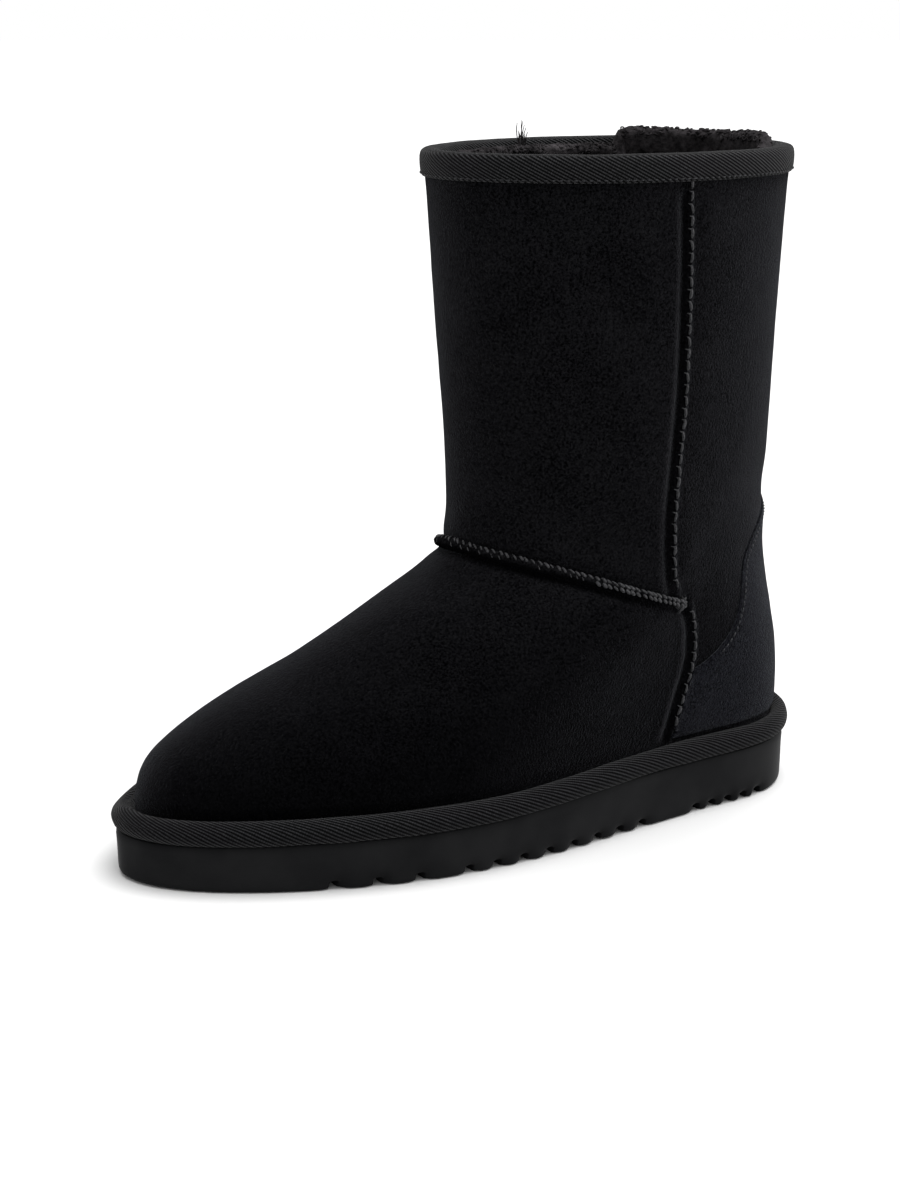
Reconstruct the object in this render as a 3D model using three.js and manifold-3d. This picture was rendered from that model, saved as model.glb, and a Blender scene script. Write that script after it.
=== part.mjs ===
// A pull-on sheepskin boot for the left foot, standing on its sole. Millimetres, +Z up.
// +X points to the toe and +Y to the wearer's left, the outer side of the foot.
// Sizes along the foot are measured from the back of the outsole, and heights from its top.

import * as THREE from 'three';
import Module from 'manifold-3d';
import { mergeVertices } from 'three/addons/utils/BufferGeometryUtils.js';

const wasm = await Module();
wasm.setup();

// ---------------------------------------------------------------- driving dimensions

const FIT_GAP = 0.3; // left between two pieces that touch
const SIDE_STEPS = 26; // faces along each side of the foot, toe to heel

const SOLE = {
  length: 270,
  heelHalf: 41.7, // half width across the heel
  lateral: 51.6, // half widths across the ball
  medial: 49.8,
  heelCap: 44, // length of the round end at the heel
  toeCap: 102, // and at the toe
  swing: 14.6, // how far the toe leans to the medial side
  heelThick: 20.8, // height of the sole's top under the heel, ball and toe
  ballThick: 17.5,
  toeThick: 16.5,
  edgeRound: 3, // rounding of the walking edge
  rimIn: 0.6, // the bevel under the welt: how far it goes in, and how high it is
  rimHigh: 2.5,
  taper: 1.4, // the side leans in by this towards the ground
  toeSpring: 2.5,
  archRise: 1.2,
};

const TREAD = {
  width: 3.4, // a groove's mouth
  depth: 2.8,
  flare: 0.6, // the mouth widens by this each side just below the ground
  heel: { from: 30, to: 61, count: 5 }, // cross grooves, evenly spaced between two places
  waist: { from: 88, to: 165, count: 8 },
  ball: { from: 183, to: 212, count: 3 },
};

const WALL = { body: 8, collar: 5, collarFade: 30, collarEven: 12 }; // skin and clipped wool together
const WELT = { high: 10, bulge: 2.8, foot: 0.6, gap: 0.4 }; // foot is how far its lower edge stands out
const WELT_SECTION = [ // the roll's outer side, as shares of its bulge and height
  { out: 0.85, up: 0.22 },
  { out: 1, up: 0.48 },
  { out: 0.7, up: 0.8 },
  { out: -0.2, up: 1 },
];
const BINDING = { high: 8.1, lip: 5, thick: 1.3, top: 1.6 }; // lip is its turn inside the collar
const COUNTER = { thick: 1.4, gap: 0.5, foot: 10.6, rows: 14 };
const INSOLE = { thick: 7, clearance: 0.5, round: 2 };

// The boot's outline at rising heights above the sole. heel is the half width at the heel and
// at the ankle; lateral and medial are those at the ball, and further up at the shin.
const LEVELS = [
  { height: 0, back: 6.0, front: 262.0, heel: 37.0, lateral: 46.5, medial: 44.5, heelCap: 42, toeCap: 98, swing: 13.5 },
  { height: 8, back: 4.2, front: 264.4, heel: 38.5, lateral: 48.0, medial: 46.0, heelCap: 42, toeCap: 98, swing: 13.5 },
  { height: 20, back: 4.0, front: 261.5, heel: 39.5, lateral: 48.0, medial: 46.0, heelCap: 43, toeCap: 100, swing: 13.0 },
  { height: 35, back: 5.0, front: 242.0, heel: 40.0, lateral: 46.5, medial: 44.5, heelCap: 44, toeCap: 105, swing: 11.0 },
  { height: 50, back: 8.5, front: 207.0, heel: 41.0, lateral: 45.0, medial: 43.5, heelCap: 46, toeCap: 105, swing: 7.0 },
  { height: 65, back: 12.0, front: 177.0, heel: 42.0, lateral: 44.5, medial: 43.5, heelCap: 50, toeCap: 95, swing: 4.0 },
  { height: 80, back: 14.0, front: 147.0, heel: 43.0, lateral: 45.0, medial: 44.0, heelCap: 56, toeCap: 82, swing: 2.0 },
  { height: 95, back: 13.0, front: 142.0, heel: 44.0, lateral: 45.5, medial: 45.0, heelCap: 60, toeCap: 70, swing: 1.0 },
  { height: 115, back: 12.4, front: 142.7, heel: 45.5, lateral: 46.5, medial: 46.0, heelCap: 62, toeCap: 64, swing: 0 },
  { height: 150, back: 12.2, front: 145.4, heel: 48.0, lateral: 48.5, medial: 48.5, heelCap: 64, toeCap: 66, swing: 0 },
  { height: 185, back: 11.2, front: 147.5, heel: 51.0, lateral: 51.0, medial: 51.0, heelCap: 66, toeCap: 68, swing: 0 },
  { height: 222, back: 9.4, front: 150.2, heel: 53.0, lateral: 53.0, medial: 53.0, heelCap: 68, toeCap: 69, swing: 0 },
];
const TOP = LEVELS[LEVELS.length - 1].height;

// Heights of the upper's rings of vertices: the first three stand behind the welt.
const RING_HEIGHTS = [0, 4, 8, 12, 16, 20, 25, 30, 35, 40, 45, 50, 56, 62, 68, 74, 80, 86, 92, 99, 108, 120, 135, 150,
  166, 182, 198, TOP - WALL.collarEven, TOP];

// The heel counter's upper edge: its height at steps round the heel, from the middle of the
// back (step 0) to the side, where it runs down to the welt.
const COUNTER_EDGE = [
  { step: 0, height: 97 },
  { step: 2, height: 94 },
  { step: 4, height: 88 },
  { step: 5, height: 83 },
  { step: 5.5, height: 78 },
  { step: 6, height: 69 },
  { step: 6.5, height: 57 },
  { step: 7, height: 44 },
  { step: 7.5, height: 38 },
  { step: 8, height: 34.5 },
];

// ---------------------------------------------------------------- the last

const { smoothstep, lerp, clamp } = THREE.MathUtils;

// Slopes of a curve through points that never swings past them.
function monotoneSlopes(xs, ys) {
  const step = xs.slice(1).map((x, i) => x - xs[i]);
  const rise = step.map((h, i) => (ys[i + 1] - ys[i]) / h);
  return xs.map((x, i) => {
    if (i === 0) return rise[0];
    if (i === xs.length - 1) return rise[i - 1];
    if (rise[i - 1] * rise[i] <= 0) return 0;
    const before = 2 * step[i] + step[i - 1];
    const after = step[i] + 2 * step[i - 1];
    return (before + after) / (before / rise[i - 1] + after / rise[i]);
  });
}

// A table's column as a smooth function of its first column.
function columnCurve(table, argument, column) {
  const xs = table.map((row) => row[argument]);
  const ys = table.map((row) => row[column]);
  const slopes = monotoneSlopes(xs, ys);
  return (x) => {
    const last = xs.length - 2;
    const i = clamp(xs.findIndex((v, k) => k <= last && x <= xs[k + 1]), 0, last);
    const h = xs[i + 1] - xs[i];
    const t = clamp((x - xs[i]) / h, 0, 1);
    return ys[i] * (1 + 2 * t) * (1 - t) ** 2 + slopes[i] * h * t * (1 - t) ** 2
      + ys[i + 1] * t * t * (3 - 2 * t) + slopes[i + 1] * h * t * t * (t - 1);
  };
}

const levelColumns = Object.keys(LEVELS[0]).map((name) => [name, columnCurve(LEVELS, 'height', name)]);
const levelAt = (height) => Object.fromEntries(levelColumns.map(([name, curve]) => [name, curve(height)]));

// Half width at a share u of the length, heel 0 to toe 1: a round heel, a straight flank and
// a longer round toe.
const HEEL_POWER = 2.2;
const TOE_POWER = 1.85;
function halfWidth(u, heel, ball, heelEnd, toeStart) {
  const roundEnd = (t, power) => (1 - clamp(t, 0, 1) ** power) ** (1 / power);
  if (u < heelEnd) return heel * roundEnd((heelEnd - u) / heelEnd, HEEL_POWER);
  if (u > toeStart) return ball * roundEnd((u - toeStart) / (1 - toeStart), TOE_POWER);
  return lerp(heel, ball, smoothstep(u, heelEnd, toeStart));
}

const FINE = 240; // points that trace an outline before it is stepped evenly
const WAIST = { hollow: 4, at: 0.42, spread: 0.16 }; // the inner side's hollow under the arch

function evenSteps(line, count) {
  const gaps = line.map((p, i) => (i ? p.distanceTo(line[i - 1]) : 0));
  const lengths = gaps.reduce((sum, d) => [...sum, (sum[sum.length - 1] ?? 0) + d], []);
  const total = lengths[lengths.length - 1];
  return Array.from({ length: count + 1 }, (_, k) => {
    const goal = (total * k) / count;
    const i = clamp(lengths.findIndex((d) => d >= goal - 1e-9), 1, line.length - 1);
    const t = (goal - lengths[i - 1]) / (lengths[i] - lengths[i - 1]);
    return line[i - 1].clone().lerp(line[i], clamp(t, 0, 1));
  });
}

// A closed outline from the tip of the toe along the lateral side to the heel and back.
function outline(level, steps = SIDE_STEPS) {
  const length = level.front - level.back;
  const fit = Math.min(1, (0.999 * length) / (level.heelCap + level.toeCap));
  const heelEnd = (level.heelCap * fit) / length;
  const toeStart = 1 - (level.toeCap * fit) / length;
  const hollow = WAIST.hollow * (1 - smoothstep(level.height, 10, 60));
  const side = (sign, ball) => Array.from({ length: FINE + 1 }, (_, i) => {
    const u = (1 + Math.cos((Math.PI * i) / FINE)) / 2;
    const waist = sign < 0 ? hollow * Math.exp(-(((u - WAIST.at) / WAIST.spread) ** 2)) : 0;
    const half = halfWidth(u, level.heel, ball, heelEnd, toeStart) - waist * Math.sin(Math.PI * u);
    return new THREE.Vector2(level.back + length * u, sign * half - level.swing * smoothstep(u, 0.4, 1));
  });
  const lateral = evenSteps(side(1, level.lateral), steps);
  const medial = evenSteps(side(-1, level.medial), steps).reverse();
  return [...lateral, ...medial.slice(1, -1)];
}

const soleLevel = {
  height: 0, back: 0, front: SOLE.length, heel: SOLE.heelHalf, lateral: SOLE.lateral, medial: SOLE.medial,
  heelCap: SOLE.heelCap, toeCap: SOLE.toeCap, swing: SOLE.swing,
};

// The top of the sole, along the foot.
function soleTop(x) {
  const share = x / SOLE.length;
  return SOLE.heelThick + (SOLE.ballThick - SOLE.heelThick) * smoothstep(share, 0.3, 0.62)
    + (SOLE.toeThick - SOLE.ballThick) * smoothstep(share, 0.7, 1);
}

// The underside: flat under the heel and the ball, a little raised at the arch and the toe.
function soleUnder(x) {
  const share = x / SOLE.length;
  const arch = smoothstep(share, 0.26, 0.36) * (1 - smoothstep(share, 0.44, 0.54));
  return SOLE.archRise * arch + SOLE.toeSpring * smoothstep(share, 0.84, 1.03) ** 1.5;
}

// A closed ring moved outwards in plan.
function grown(ring, distance) {
  return ring.map((p, i) => {
    const before = ring[(i + ring.length - 1) % ring.length];
    const after = ring[(i + 1) % ring.length];
    const normal = new THREE.Vector2(after.y - before.y, before.x - after.x).normalize();
    return new THREE.Vector2(p.x, p.y).addScaledVector(normal, distance);
  });
}

const raised = (ring, heightAt) => ring.map((p) => new THREE.Vector3(p.x, p.y, heightAt(p.x)));

// ---------------------------------------------------------------- building meshes

function meshOf(name, points, faces, material) {
  const geometry = new THREE.BufferGeometry();
  geometry.setAttribute('position', new THREE.Float32BufferAttribute(points.flatMap((p) => [p.x, p.y, p.z]), 3));
  geometry.setIndex(faces.flat());
  geometry.computeVertexNormals();
  const mesh = new THREE.Mesh(geometry, material);
  mesh.name = name;
  return mesh;
}

// Faces between rings of equal count, each ring to the next; closed joins the last to the first.
function bandFaces(rings, count, closed) {
  const faces = [];
  const bands = closed ? rings : rings - 1;
  for (let i = 0; i < bands; i += 1) {
    const low = i * count;
    const high = ((i + 1) % rings) * count;
    for (let j = 0; j < count; j += 1) {
      const k = (j + 1) % count;
      faces.push([low + j, low + k, high + k], [low + j, high + k, high + j]);
    }
  }
  return faces;
}

// A ring-shaped solid: the rings go once round its section, outside upwards and inside down.
function ringSolid(name, rings, material) {
  const count = rings[0].length;
  return meshOf(name, rings.flat(), bandFaces(rings.length, count, true), material);
}

// Faces that close a ring by joining its lateral points to its medial ones.
function capFaces(start, count, up) {
  const faces = [];
  const half = count / 2;
  for (let j = 0; j < half; j += 1) {
    const a = start + j;
    const b = start + j + 1;
    const c = start + ((count - j - 1) % count);
    const d = start + ((count - j) % count);
    if (j < half - 1) faces.push(up ? [a, b, c] : [a, c, b]);
    if (j > 0) faces.push(up ? [a, c, d] : [a, d, c]);
  }
  return faces;
}

// A block with a closed outline: rings from the underside to the top, both ends capped.
function blockSolid(name, rings, material) {
  const count = rings[0].length;
  const faces = [
    ...capFaces(0, count, false),
    ...bandFaces(rings.length, count, false),
    ...capFaces((rings.length - 1) * count, count, true),
  ];
  return meshOf(name, rings.flat(), faces, material);
}

function toManifold(geometry) {
  const bare = geometry.clone();
  bare.deleteAttribute('normal');
  bare.deleteAttribute('uv');
  const merged = mergeVertices(bare, 1e-4);
  return new wasm.Manifold(new wasm.Mesh({
    numProp: 3,
    vertProperties: new Float32Array(merged.attributes.position.array),
    triVerts: new Uint32Array(merged.index.array),
  }));
}

function fromManifold(solid) {
  const { vertProperties, triVerts } = solid.getMesh();
  const geometry = new THREE.BufferGeometry();
  geometry.setAttribute('position', new THREE.BufferAttribute(new Float32Array(vertProperties), 3));
  geometry.setIndex(new THREE.BufferAttribute(new Uint32Array(triVerts), 1));
  geometry.computeVertexNormals();
  return geometry;
}

// ---------------------------------------------------------------- materials

const plain = (color, roughness) => new THREE.MeshStandardMaterial({ color, roughness, metalness: 0 });
const MATERIALS = {
  suede: plain(0x141416, 0.95),
  counterSuede: plain(0x1a1b22, 0.95),
  tape: plain(0x202022, 0.8),
  foam: plain(0x1c1d20, 0.7),
  wool: plain(0x100e0d, 1.0),
};

// ---------------------------------------------------------------- pieces

// Cross grooves, each an upturned V with a flat top, cut right through from side to side.
function treadCutter() {
  const { width, depth, flare } = TREAD;
  const mouth = width / 2 + flare;
  const bottom = width / 3;
  const below = -1.5; // the cutter starts under the sole
  const profile = new THREE.Shape([
    new THREE.Vector2(-mouth, below),
    new THREE.Vector2(mouth, below),
    new THREE.Vector2(bottom, depth),
    new THREE.Vector2(-bottom, depth),
  ]);
  const across = 2 * (SOLE.lateral + SOLE.medial);
  const groove = new THREE.ExtrudeGeometry(profile, { depth: across, bevelEnabled: false });
  groove.rotateX(Math.PI / 2).translate(0, across / 2, 0);
  const places = [TREAD.heel, TREAD.waist, TREAD.ball].flatMap(({ from, to, count }) => (
    Array.from({ length: count }, (_, i) => lerp(from, to, i / (count - 1)))));
  const cutters = places.map((x) => toManifold(groove.clone().translate(x, 0, soleUnder(x))));
  return cutters.reduce((all, cutter) => all.add(cutter));
}

function makeOutsole() {
  const steps = 36;
  const edge = outline(soleLevel, steps);
  const { edgeRound, taper, rimIn, rimHigh } = SOLE;
  const under = (lift) => (x) => soleUnder(x) + lift;
  const corner = Math.PI / 4;
  const rings = [
    raised(grown(edge, -taper - edgeRound), under(0)),
    raised(grown(edge, -taper - edgeRound * (1 - Math.sin(corner))), under(edgeRound * (1 - Math.cos(corner)))),
    raised(grown(edge, -taper), under(edgeRound)),
    raised(grown(edge, 0), (x) => soleTop(x) - rimHigh),
    raised(grown(edge, -rimIn), (x) => soleTop(x) - FIT_GAP),
  ];
  const block = blockSolid('outsole', rings, MATERIALS.foam);
  block.geometry = fromManifold(toManifold(block.geometry).subtract(treadCutter()));
  return block;
}

// The outer face of the upper, as rings of points.
const outerRings = RING_HEIGHTS.map((height) => {
  const follow = 1 - smoothstep(height, 30, 110); // low rings follow the sole, high ones are level
  return raised(outline(levelAt(height)), (x) => height + lerp(SOLE.heelThick, soleTop(x), follow));
});

function surfaceNormal(rings, i, j) {
  const ring = rings[i];
  const count = ring.length;
  const along = ring[(j + 1) % count].clone().sub(ring[(j + count - 1) % count]);
  const rise = rings[Math.min(i + 1, rings.length - 1)][j].clone().sub(rings[Math.max(i - 1, 0)][j]);
  const normal = along.cross(rise);
  if (i === 0 || i === rings.length - 1) normal.z = 0; // the upper's two edges stay level
  return normal.normalize();
}

const outerNormals = outerRings.map((ring, i) => ring.map((_, j) => surfaceNormal(outerRings, i, j)));

function wallAt(height) {
  return lerp(WALL.body, WALL.collar, smoothstep(height, TOP - WALL.collarFade, TOP - WALL.collarEven));
}

const innerRings = outerRings.map((ring, i) => ring.map((p, j) => (
  p.clone().addScaledVector(outerNormals[i][j], -wallAt(RING_HEIGHTS[i])))));

function makeUpper() {
  return ringSolid('upper', [...outerRings, ...[...innerRings].reverse()], MATERIALS.suede);
}

// The taped welt: a rounded band that stands on the sole's edge and closes against the upper.
function makeWelt() {
  const edge = outline(soleLevel);
  const { high, bulge, foot, gap } = WELT;
  const lift = (height) => (x) => soleTop(x) + height;
  const against = (index) => {
    const flat = outerRings[index].map((p) => new THREE.Vector2(p.x, p.y));
    return grown(flat, gap).map((p, j) => new THREE.Vector3(p.x, p.y, outerRings[index][j].z));
  };
  const rings = [
    raised(grown(edge, foot), lift(0)),
    ...WELT_SECTION.map(({ out, up }) => raised(grown(edge, bulge * out), lift(high * up))),
    against(2),
    against(1),
    against(0),
  ];
  return ringSolid('welt', rings, MATERIALS.tape);
}

// The tape over the collar's edge: down the outside, over the top and a little way inside.
function makeCollarBinding() {
  const last = outerRings.length - 1;
  const { high, lip, thick, top } = BINDING;
  const crown = SOLE.heelThick + TOP;
  // A wall's ring at a depth below the collar's edge, moved sideways.
  const at = (wall, depth, distance, height = crown - depth) => {
    const share = clamp(depth, 0, WALL.collarEven) / WALL.collarEven;
    return raised(grown(wall[last].map((p, j) => p.clone().lerp(wall[last - 1][j], share)), distance), () => height);
  };
  const gap = FIT_GAP;
  const rings = [
    at(outerRings, high, gap),
    at(outerRings, high, gap + thick),
    at(outerRings, 0, gap + thick),
    at(outerRings, 0, 0, crown + top),
    at(innerRings, 0, 0, crown + top),
    at(innerRings, 0, -gap - thick),
    at(innerRings, lip, -gap - thick),
    at(innerRings, lip, -gap),
    at(innerRings, 0, -gap, crown + gap),
    at(outerRings, 0, gap, crown + gap),
  ];
  return ringSolid('collar_binding', rings, MATERIALS.tape);
}

// A point on the upper's outer face, on column j or part of the way to the next, at a height
// above the sole.
function onUpper(j, height) {
  const i = clamp(RING_HEIGHTS.findIndex((h) => h >= height), 1, RING_HEIGHTS.length - 1);
  const t = (height - RING_HEIGHTS[i - 1]) / (RING_HEIGHTS[i] - RING_HEIGHTS[i - 1]);
  const before = Math.floor(j);
  const after = Math.ceil(j);
  const within = (rings) => {
    const low = rings[i - 1][before].clone().lerp(rings[i - 1][after], j - before);
    const high = rings[i][before].clone().lerp(rings[i][after], j - before);
    return low.lerp(high, t);
  };
  return { point: within(outerRings), normal: within(outerNormals).normalize() };
}

// The heel counter: a thin overlay between two offsets of the upper's outer face.
function makeHeelCounter() {
  const edgeHeight = columnCurve(COUNTER_EDGE, 'step', 'height');
  const reach = COUNTER_EDGE[COUNTER_EDGE.length - 1].step;
  const columns = Array.from({ length: 4 * reach + 1 }, (_, k) => k / 2 - reach);
  const { thick, gap, foot, rows } = COUNTER;
  const sheet = (offset) => columns.map((step) => Array.from({ length: rows + 1 }, (_, r) => {
    const { point, normal } = onUpper(SIDE_STEPS + step, lerp(foot, edgeHeight(Math.abs(step)), r / rows));
    return point.addScaledVector(normal, offset);
  }));
  const near = sheet(gap);
  const far = sheet(gap + thick);
  const wide = columns.length;
  const tall = rows + 1;
  const points = [...near.flat(), ...far.flat()];
  const id = (side, c, r) => side * wide * tall + c * tall + r;
  const quad = (a, b, c, d) => [[a, b, c], [a, c, d]];
  const faces = [];
  for (let c = 0; c < wide - 1; c += 1) {
    for (let r = 0; r < rows; r += 1) {
      faces.push(...quad(id(1, c, r), id(1, c + 1, r), id(1, c + 1, r + 1), id(1, c, r + 1)));
      faces.push(...quad(id(0, c, r), id(0, c, r + 1), id(0, c + 1, r + 1), id(0, c + 1, r)));
    }
    faces.push(...quad(id(0, c, 0), id(0, c + 1, 0), id(1, c + 1, 0), id(1, c, 0)));
    faces.push(...quad(id(1, c, rows), id(1, c + 1, rows), id(0, c + 1, rows), id(0, c, rows)));
  }
  for (let r = 0; r < rows; r += 1) {
    faces.push(...quad(id(0, 0, r), id(1, 0, r), id(1, 0, r + 1), id(0, 0, r + 1)));
    faces.push(...quad(id(1, wide - 1, r), id(0, wide - 1, r), id(0, wide - 1, r + 1), id(1, wide - 1, r + 1)));
  }
  return meshOf('heel_counter', points, faces, MATERIALS.counterSuede);
}

// The wool-covered footbed, which lies on the outsole inside the upper.
function makeInsole() {
  const inside = innerRings[0].map((p) => new THREE.Vector2(p.x, p.y));
  const { thick, clearance, round } = INSOLE;
  const lift = (height) => (x) => soleTop(x) + height;
  const rings = [
    raised(grown(inside, -clearance), lift(0)),
    raised(grown(inside, -clearance), lift(thick - round)),
    raised(grown(inside, -clearance - round), lift(thick)),
  ];
  return blockSolid('insole', rings, MATERIALS.wool);
}

// ---------------------------------------------------------------- the boot

const boot = new THREE.Group();
boot.add(makeOutsole(), makeWelt(), makeUpper(), makeCollarBinding(), makeHeelCounter(), makeInsole());

// The origin is on the ground, under the middle of the boot's box.
const box = new THREE.Box3().setFromObject(boot);
const middle = box.getCenter(new THREE.Vector3());
boot.position.set(-middle.x, -middle.y, -box.min.z);

export default boot;
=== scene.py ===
"""A black sheepskin boot for the left foot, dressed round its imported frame.

Sizes are millimetres on the boot: x from the back of the outsole towards the toe, y from the
middle of the shaft towards the outer side, z up from the ground. Last.give turns them into
the frame's metres.
"""

from __future__ import annotations

import logging
import math
import sys
from dataclasses import dataclass, field
from enum import Enum
from typing import Callable, Iterable, Sequence

import bmesh
import bpy
import numpy as np
from mathutils import Matrix, Vector, noise
from mathutils.bvhtree import BVHTree


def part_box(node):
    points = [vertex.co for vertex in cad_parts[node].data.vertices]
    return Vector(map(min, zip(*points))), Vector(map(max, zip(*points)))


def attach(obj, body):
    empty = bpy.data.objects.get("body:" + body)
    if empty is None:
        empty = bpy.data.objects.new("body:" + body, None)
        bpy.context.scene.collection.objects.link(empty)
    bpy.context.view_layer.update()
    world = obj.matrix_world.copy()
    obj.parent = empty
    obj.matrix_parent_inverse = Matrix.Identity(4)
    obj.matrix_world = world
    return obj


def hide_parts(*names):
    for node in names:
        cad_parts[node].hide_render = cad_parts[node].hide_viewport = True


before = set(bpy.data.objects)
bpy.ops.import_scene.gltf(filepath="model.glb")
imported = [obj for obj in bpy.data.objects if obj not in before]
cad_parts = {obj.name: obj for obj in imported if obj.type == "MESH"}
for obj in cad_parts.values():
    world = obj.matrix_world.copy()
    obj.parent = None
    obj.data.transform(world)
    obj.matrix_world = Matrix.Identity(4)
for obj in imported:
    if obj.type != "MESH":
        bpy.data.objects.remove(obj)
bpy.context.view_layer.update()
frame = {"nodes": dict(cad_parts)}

log = logging.getLogger("boot")

MM = 0.001
SEED = 7
UP = np.array([0.0, 0.0, 1.0])
SHAFT_AXIS = 78.0  # x of the upright axis inside the shaft
OUTSIDE, INSIDE = 0, 1  # the material indices of the upper's two faces
BEARINGS = 104  # the places round a band at which its outer edge is measured

BMesh = bmesh.types.BMesh
Material = bpy.types.Material
Object = bpy.types.Object
Socket = bpy.types.NodeSocket
Triple = tuple[float, float, float]  # a colour, a place or a direction
Table = tuple[tuple[float, float], ...]  # places, each with its value
Pair = tuple[np.ndarray, np.ndarray]


# ---- shared shapes


def smoothstep(low: float, high: float, x: np.ndarray | float) -> np.ndarray:
    """A soft step from 0 at low to 1 at high."""
    t = np.clip((np.asarray(x, float) - low) / (high - low), 0.0, 1.0)
    return t * t * (3.0 - 2.0 * t)


def unit(vectors: np.ndarray) -> np.ndarray:
    """Vectors scaled to length 1, along the last axis."""
    return vectors / np.maximum(np.linalg.norm(vectors, axis=-1, keepdims=True), 1e-9)


def wander(points: np.ndarray, size: float, shift: float = 0.0) -> np.ndarray:
    """Smooth noise from -1 to 1 at each point.

    Args:
        points: places in millimetres.
        size: the width of one swell in millimetres.
        shift: moves the pattern, so that two of them differ.

    Returns:
        One number for each point.
    """
    return np.array([noise.noise(Vector(p) / size + Vector((shift, 0.0, 0.0))) for p in points])


def once(things: Iterable) -> list:
    """Each thing once, in the order of its first showing."""
    return list(dict.fromkeys(things))


def bell(x: np.ndarray | float, middle: np.ndarray | float, width: float) -> np.ndarray:
    """A soft bump of height 1 round a middle."""
    return np.exp(-(((x - middle) / width) ** 2))


def bearing(degrees: float) -> np.ndarray:
    """The level direction at an angle from the toe's, turning to the outer side."""
    turn = math.radians(degrees)
    return np.array([math.cos(turn), math.sin(turn), 0.0])


def reach_of(line: np.ndarray) -> np.ndarray:
    """How far along a line each of its points lies."""
    return np.concatenate([[0.0], np.cumsum(np.linalg.norm(np.diff(line, axis=0), axis=1))])


def read_off(goals: np.ndarray, reach: np.ndarray, rows: np.ndarray) -> np.ndarray:
    """The rows of a line at other places along it."""
    return np.stack([np.interp(goals, reach, column) for column in rows.T], axis=1)


def evened(rows: np.ndarray, weights: np.ndarray) -> np.ndarray:
    """Rows averaged with their neighbours; past the ends the last row repeats.

    Args:
        rows: one row for each place.
        weights: an odd number of shares that add up to 1.

    Returns:
        The evened rows.
    """
    half = len(weights) // 2
    padded = np.pad(rows, ((half, half), (0, 0)), mode="edge")
    return np.stack([np.convolve(column, weights, "valid") for column in padded.T], axis=1)


@dataclass
class Station:
    """A place on a seam: where it is, which way is out, along and across it."""

    point: np.ndarray
    normal: np.ndarray
    along: np.ndarray
    across: np.ndarray


class Route:
    """A run of stations at an even pitch along the upper."""

    REACH = 25.0  # nothing further off than this is measured

    def __init__(self, points: np.ndarray, normals: np.ndarray, pitch: float) -> None:
        """Lays stations on a line of points.

        Args:
            points: the line, in order.
            normals: the surface's outward directions at those points.
            pitch: the distance between two stations.
        """
        reach = reach_of(points)
        self.length = float(reach[-1])
        goals = np.linspace(0.0, self.length, max(2, round(self.length / pitch) + 1))
        self.points = read_off(goals, reach, points)
        self.normals = unit(read_off(goals, reach, normals))
        self.along = unit(np.gradient(self.points, axis=0))
        self.across = unit(np.cross(self.normals, self.along))
        self.pitch = self.length / (len(goals) - 1)

    def at(self, distance: float) -> Station:
        """The station at a distance from the route's start.

        Args:
            distance: millimetres from the start.

        Returns:
            The station.
        """
        place = np.clip(distance / self.pitch, 0.0, len(self.points) - 1.0)
        i = min(int(place), len(self.points) - 2)
        t = place - i
        mixed = [
            rows[i] * (1.0 - t) + rows[i + 1] * t
            for rows in (self.points, self.normals, self.along, self.across)
        ]
        return Station(*mixed)

    def measure(self, places: np.ndarray) -> Pair:
        """How far places lie from the route.

        Args:
            places: points near the route.

        Returns:
            The signed distance across the route, and the distance past its nearer end, which is
            endless for a place out of reach.
        """
        gaps = places[:, None, :] - self.points[None, :, :]
        nearest = np.argmin((gaps**2).sum(axis=2), axis=1)
        rows = np.arange(len(places))
        offset = gaps[rows, nearest]
        side = (offset * self.across[nearest]).sum(axis=1)
        past = np.abs((offset * self.along[nearest]).sum(axis=1))
        ends = (nearest == 0) | (nearest == len(self.points) - 1)
        far = np.linalg.norm(offset, axis=1) > self.REACH
        return side, np.where(far, np.inf, np.where(ends, past, 0.0))


class Skin:
    """A face of the upper or of a band, which seams, overlays and wool are laid on."""

    FAR = 300.0  # outside everything
    PITCH = 0.8  # between the stations of its routes

    def __init__(self, mesh: BMesh, finish: int = OUTSIDE) -> None:
        """Keeps the mesh's faces of one material index as a surface to cast on.

        Args:
            mesh: the mesh to copy them from.
            finish: the material index.
        """
        mesh.verts.index_update()
        points = [v.co.copy() for v in mesh.verts]
        faces = [[v.index for v in f.verts] for f in mesh.faces if f.material_index == finish]
        self.tree = BVHTree.FromPolygons(points, faces)

    def cast(self, start: Vector, way: Vector) -> Pair:
        """The first place on the skin seen from start, and its outward direction.

        Args:
            start: where the ray starts.
            way: its direction.

        Returns:
            The place and the direction.
        """
        point, normal, _, _ = self.tree.ray_cast(start, way)
        if point is None:
            raise ValueError(f"the skin isn't met from {tuple(start)}")
        return np.array(point), np.array(normal)

    def from_side(self, x: float, z: float, side: int) -> Pair:
        """The place at x and z on the outer (side 1) or inner (side -1) flank."""
        return self.cast(Vector((x, side * self.FAR, z)), Vector((0.0, -side, 0.0)))

    def from_round(self, axis_x: float, degrees: float, z: float) -> Pair:
        """The place at a height, seen from an angle round an upright axis; 0 is the front."""
        way = Vector(bearing(degrees))
        return self.cast(Vector((axis_x, 0.0, z)) + way * self.FAR, -way)

    def route(self, hits: Iterable[Pair]) -> Route:
        """A route through places on the skin, with its directions evened out.

        Args:
            hits: the places, each with the skin's outward direction.

        Returns:
            The route.
        """
        points, normals = (np.array(rows) for rows in zip(*hits))
        spread = np.array([1.0, 2.0, 3.0, 2.0, 1.0]) / 9.0
        return Route(points, unit(evened(normals, spread)), self.PITCH)


# ---- the frame


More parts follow.
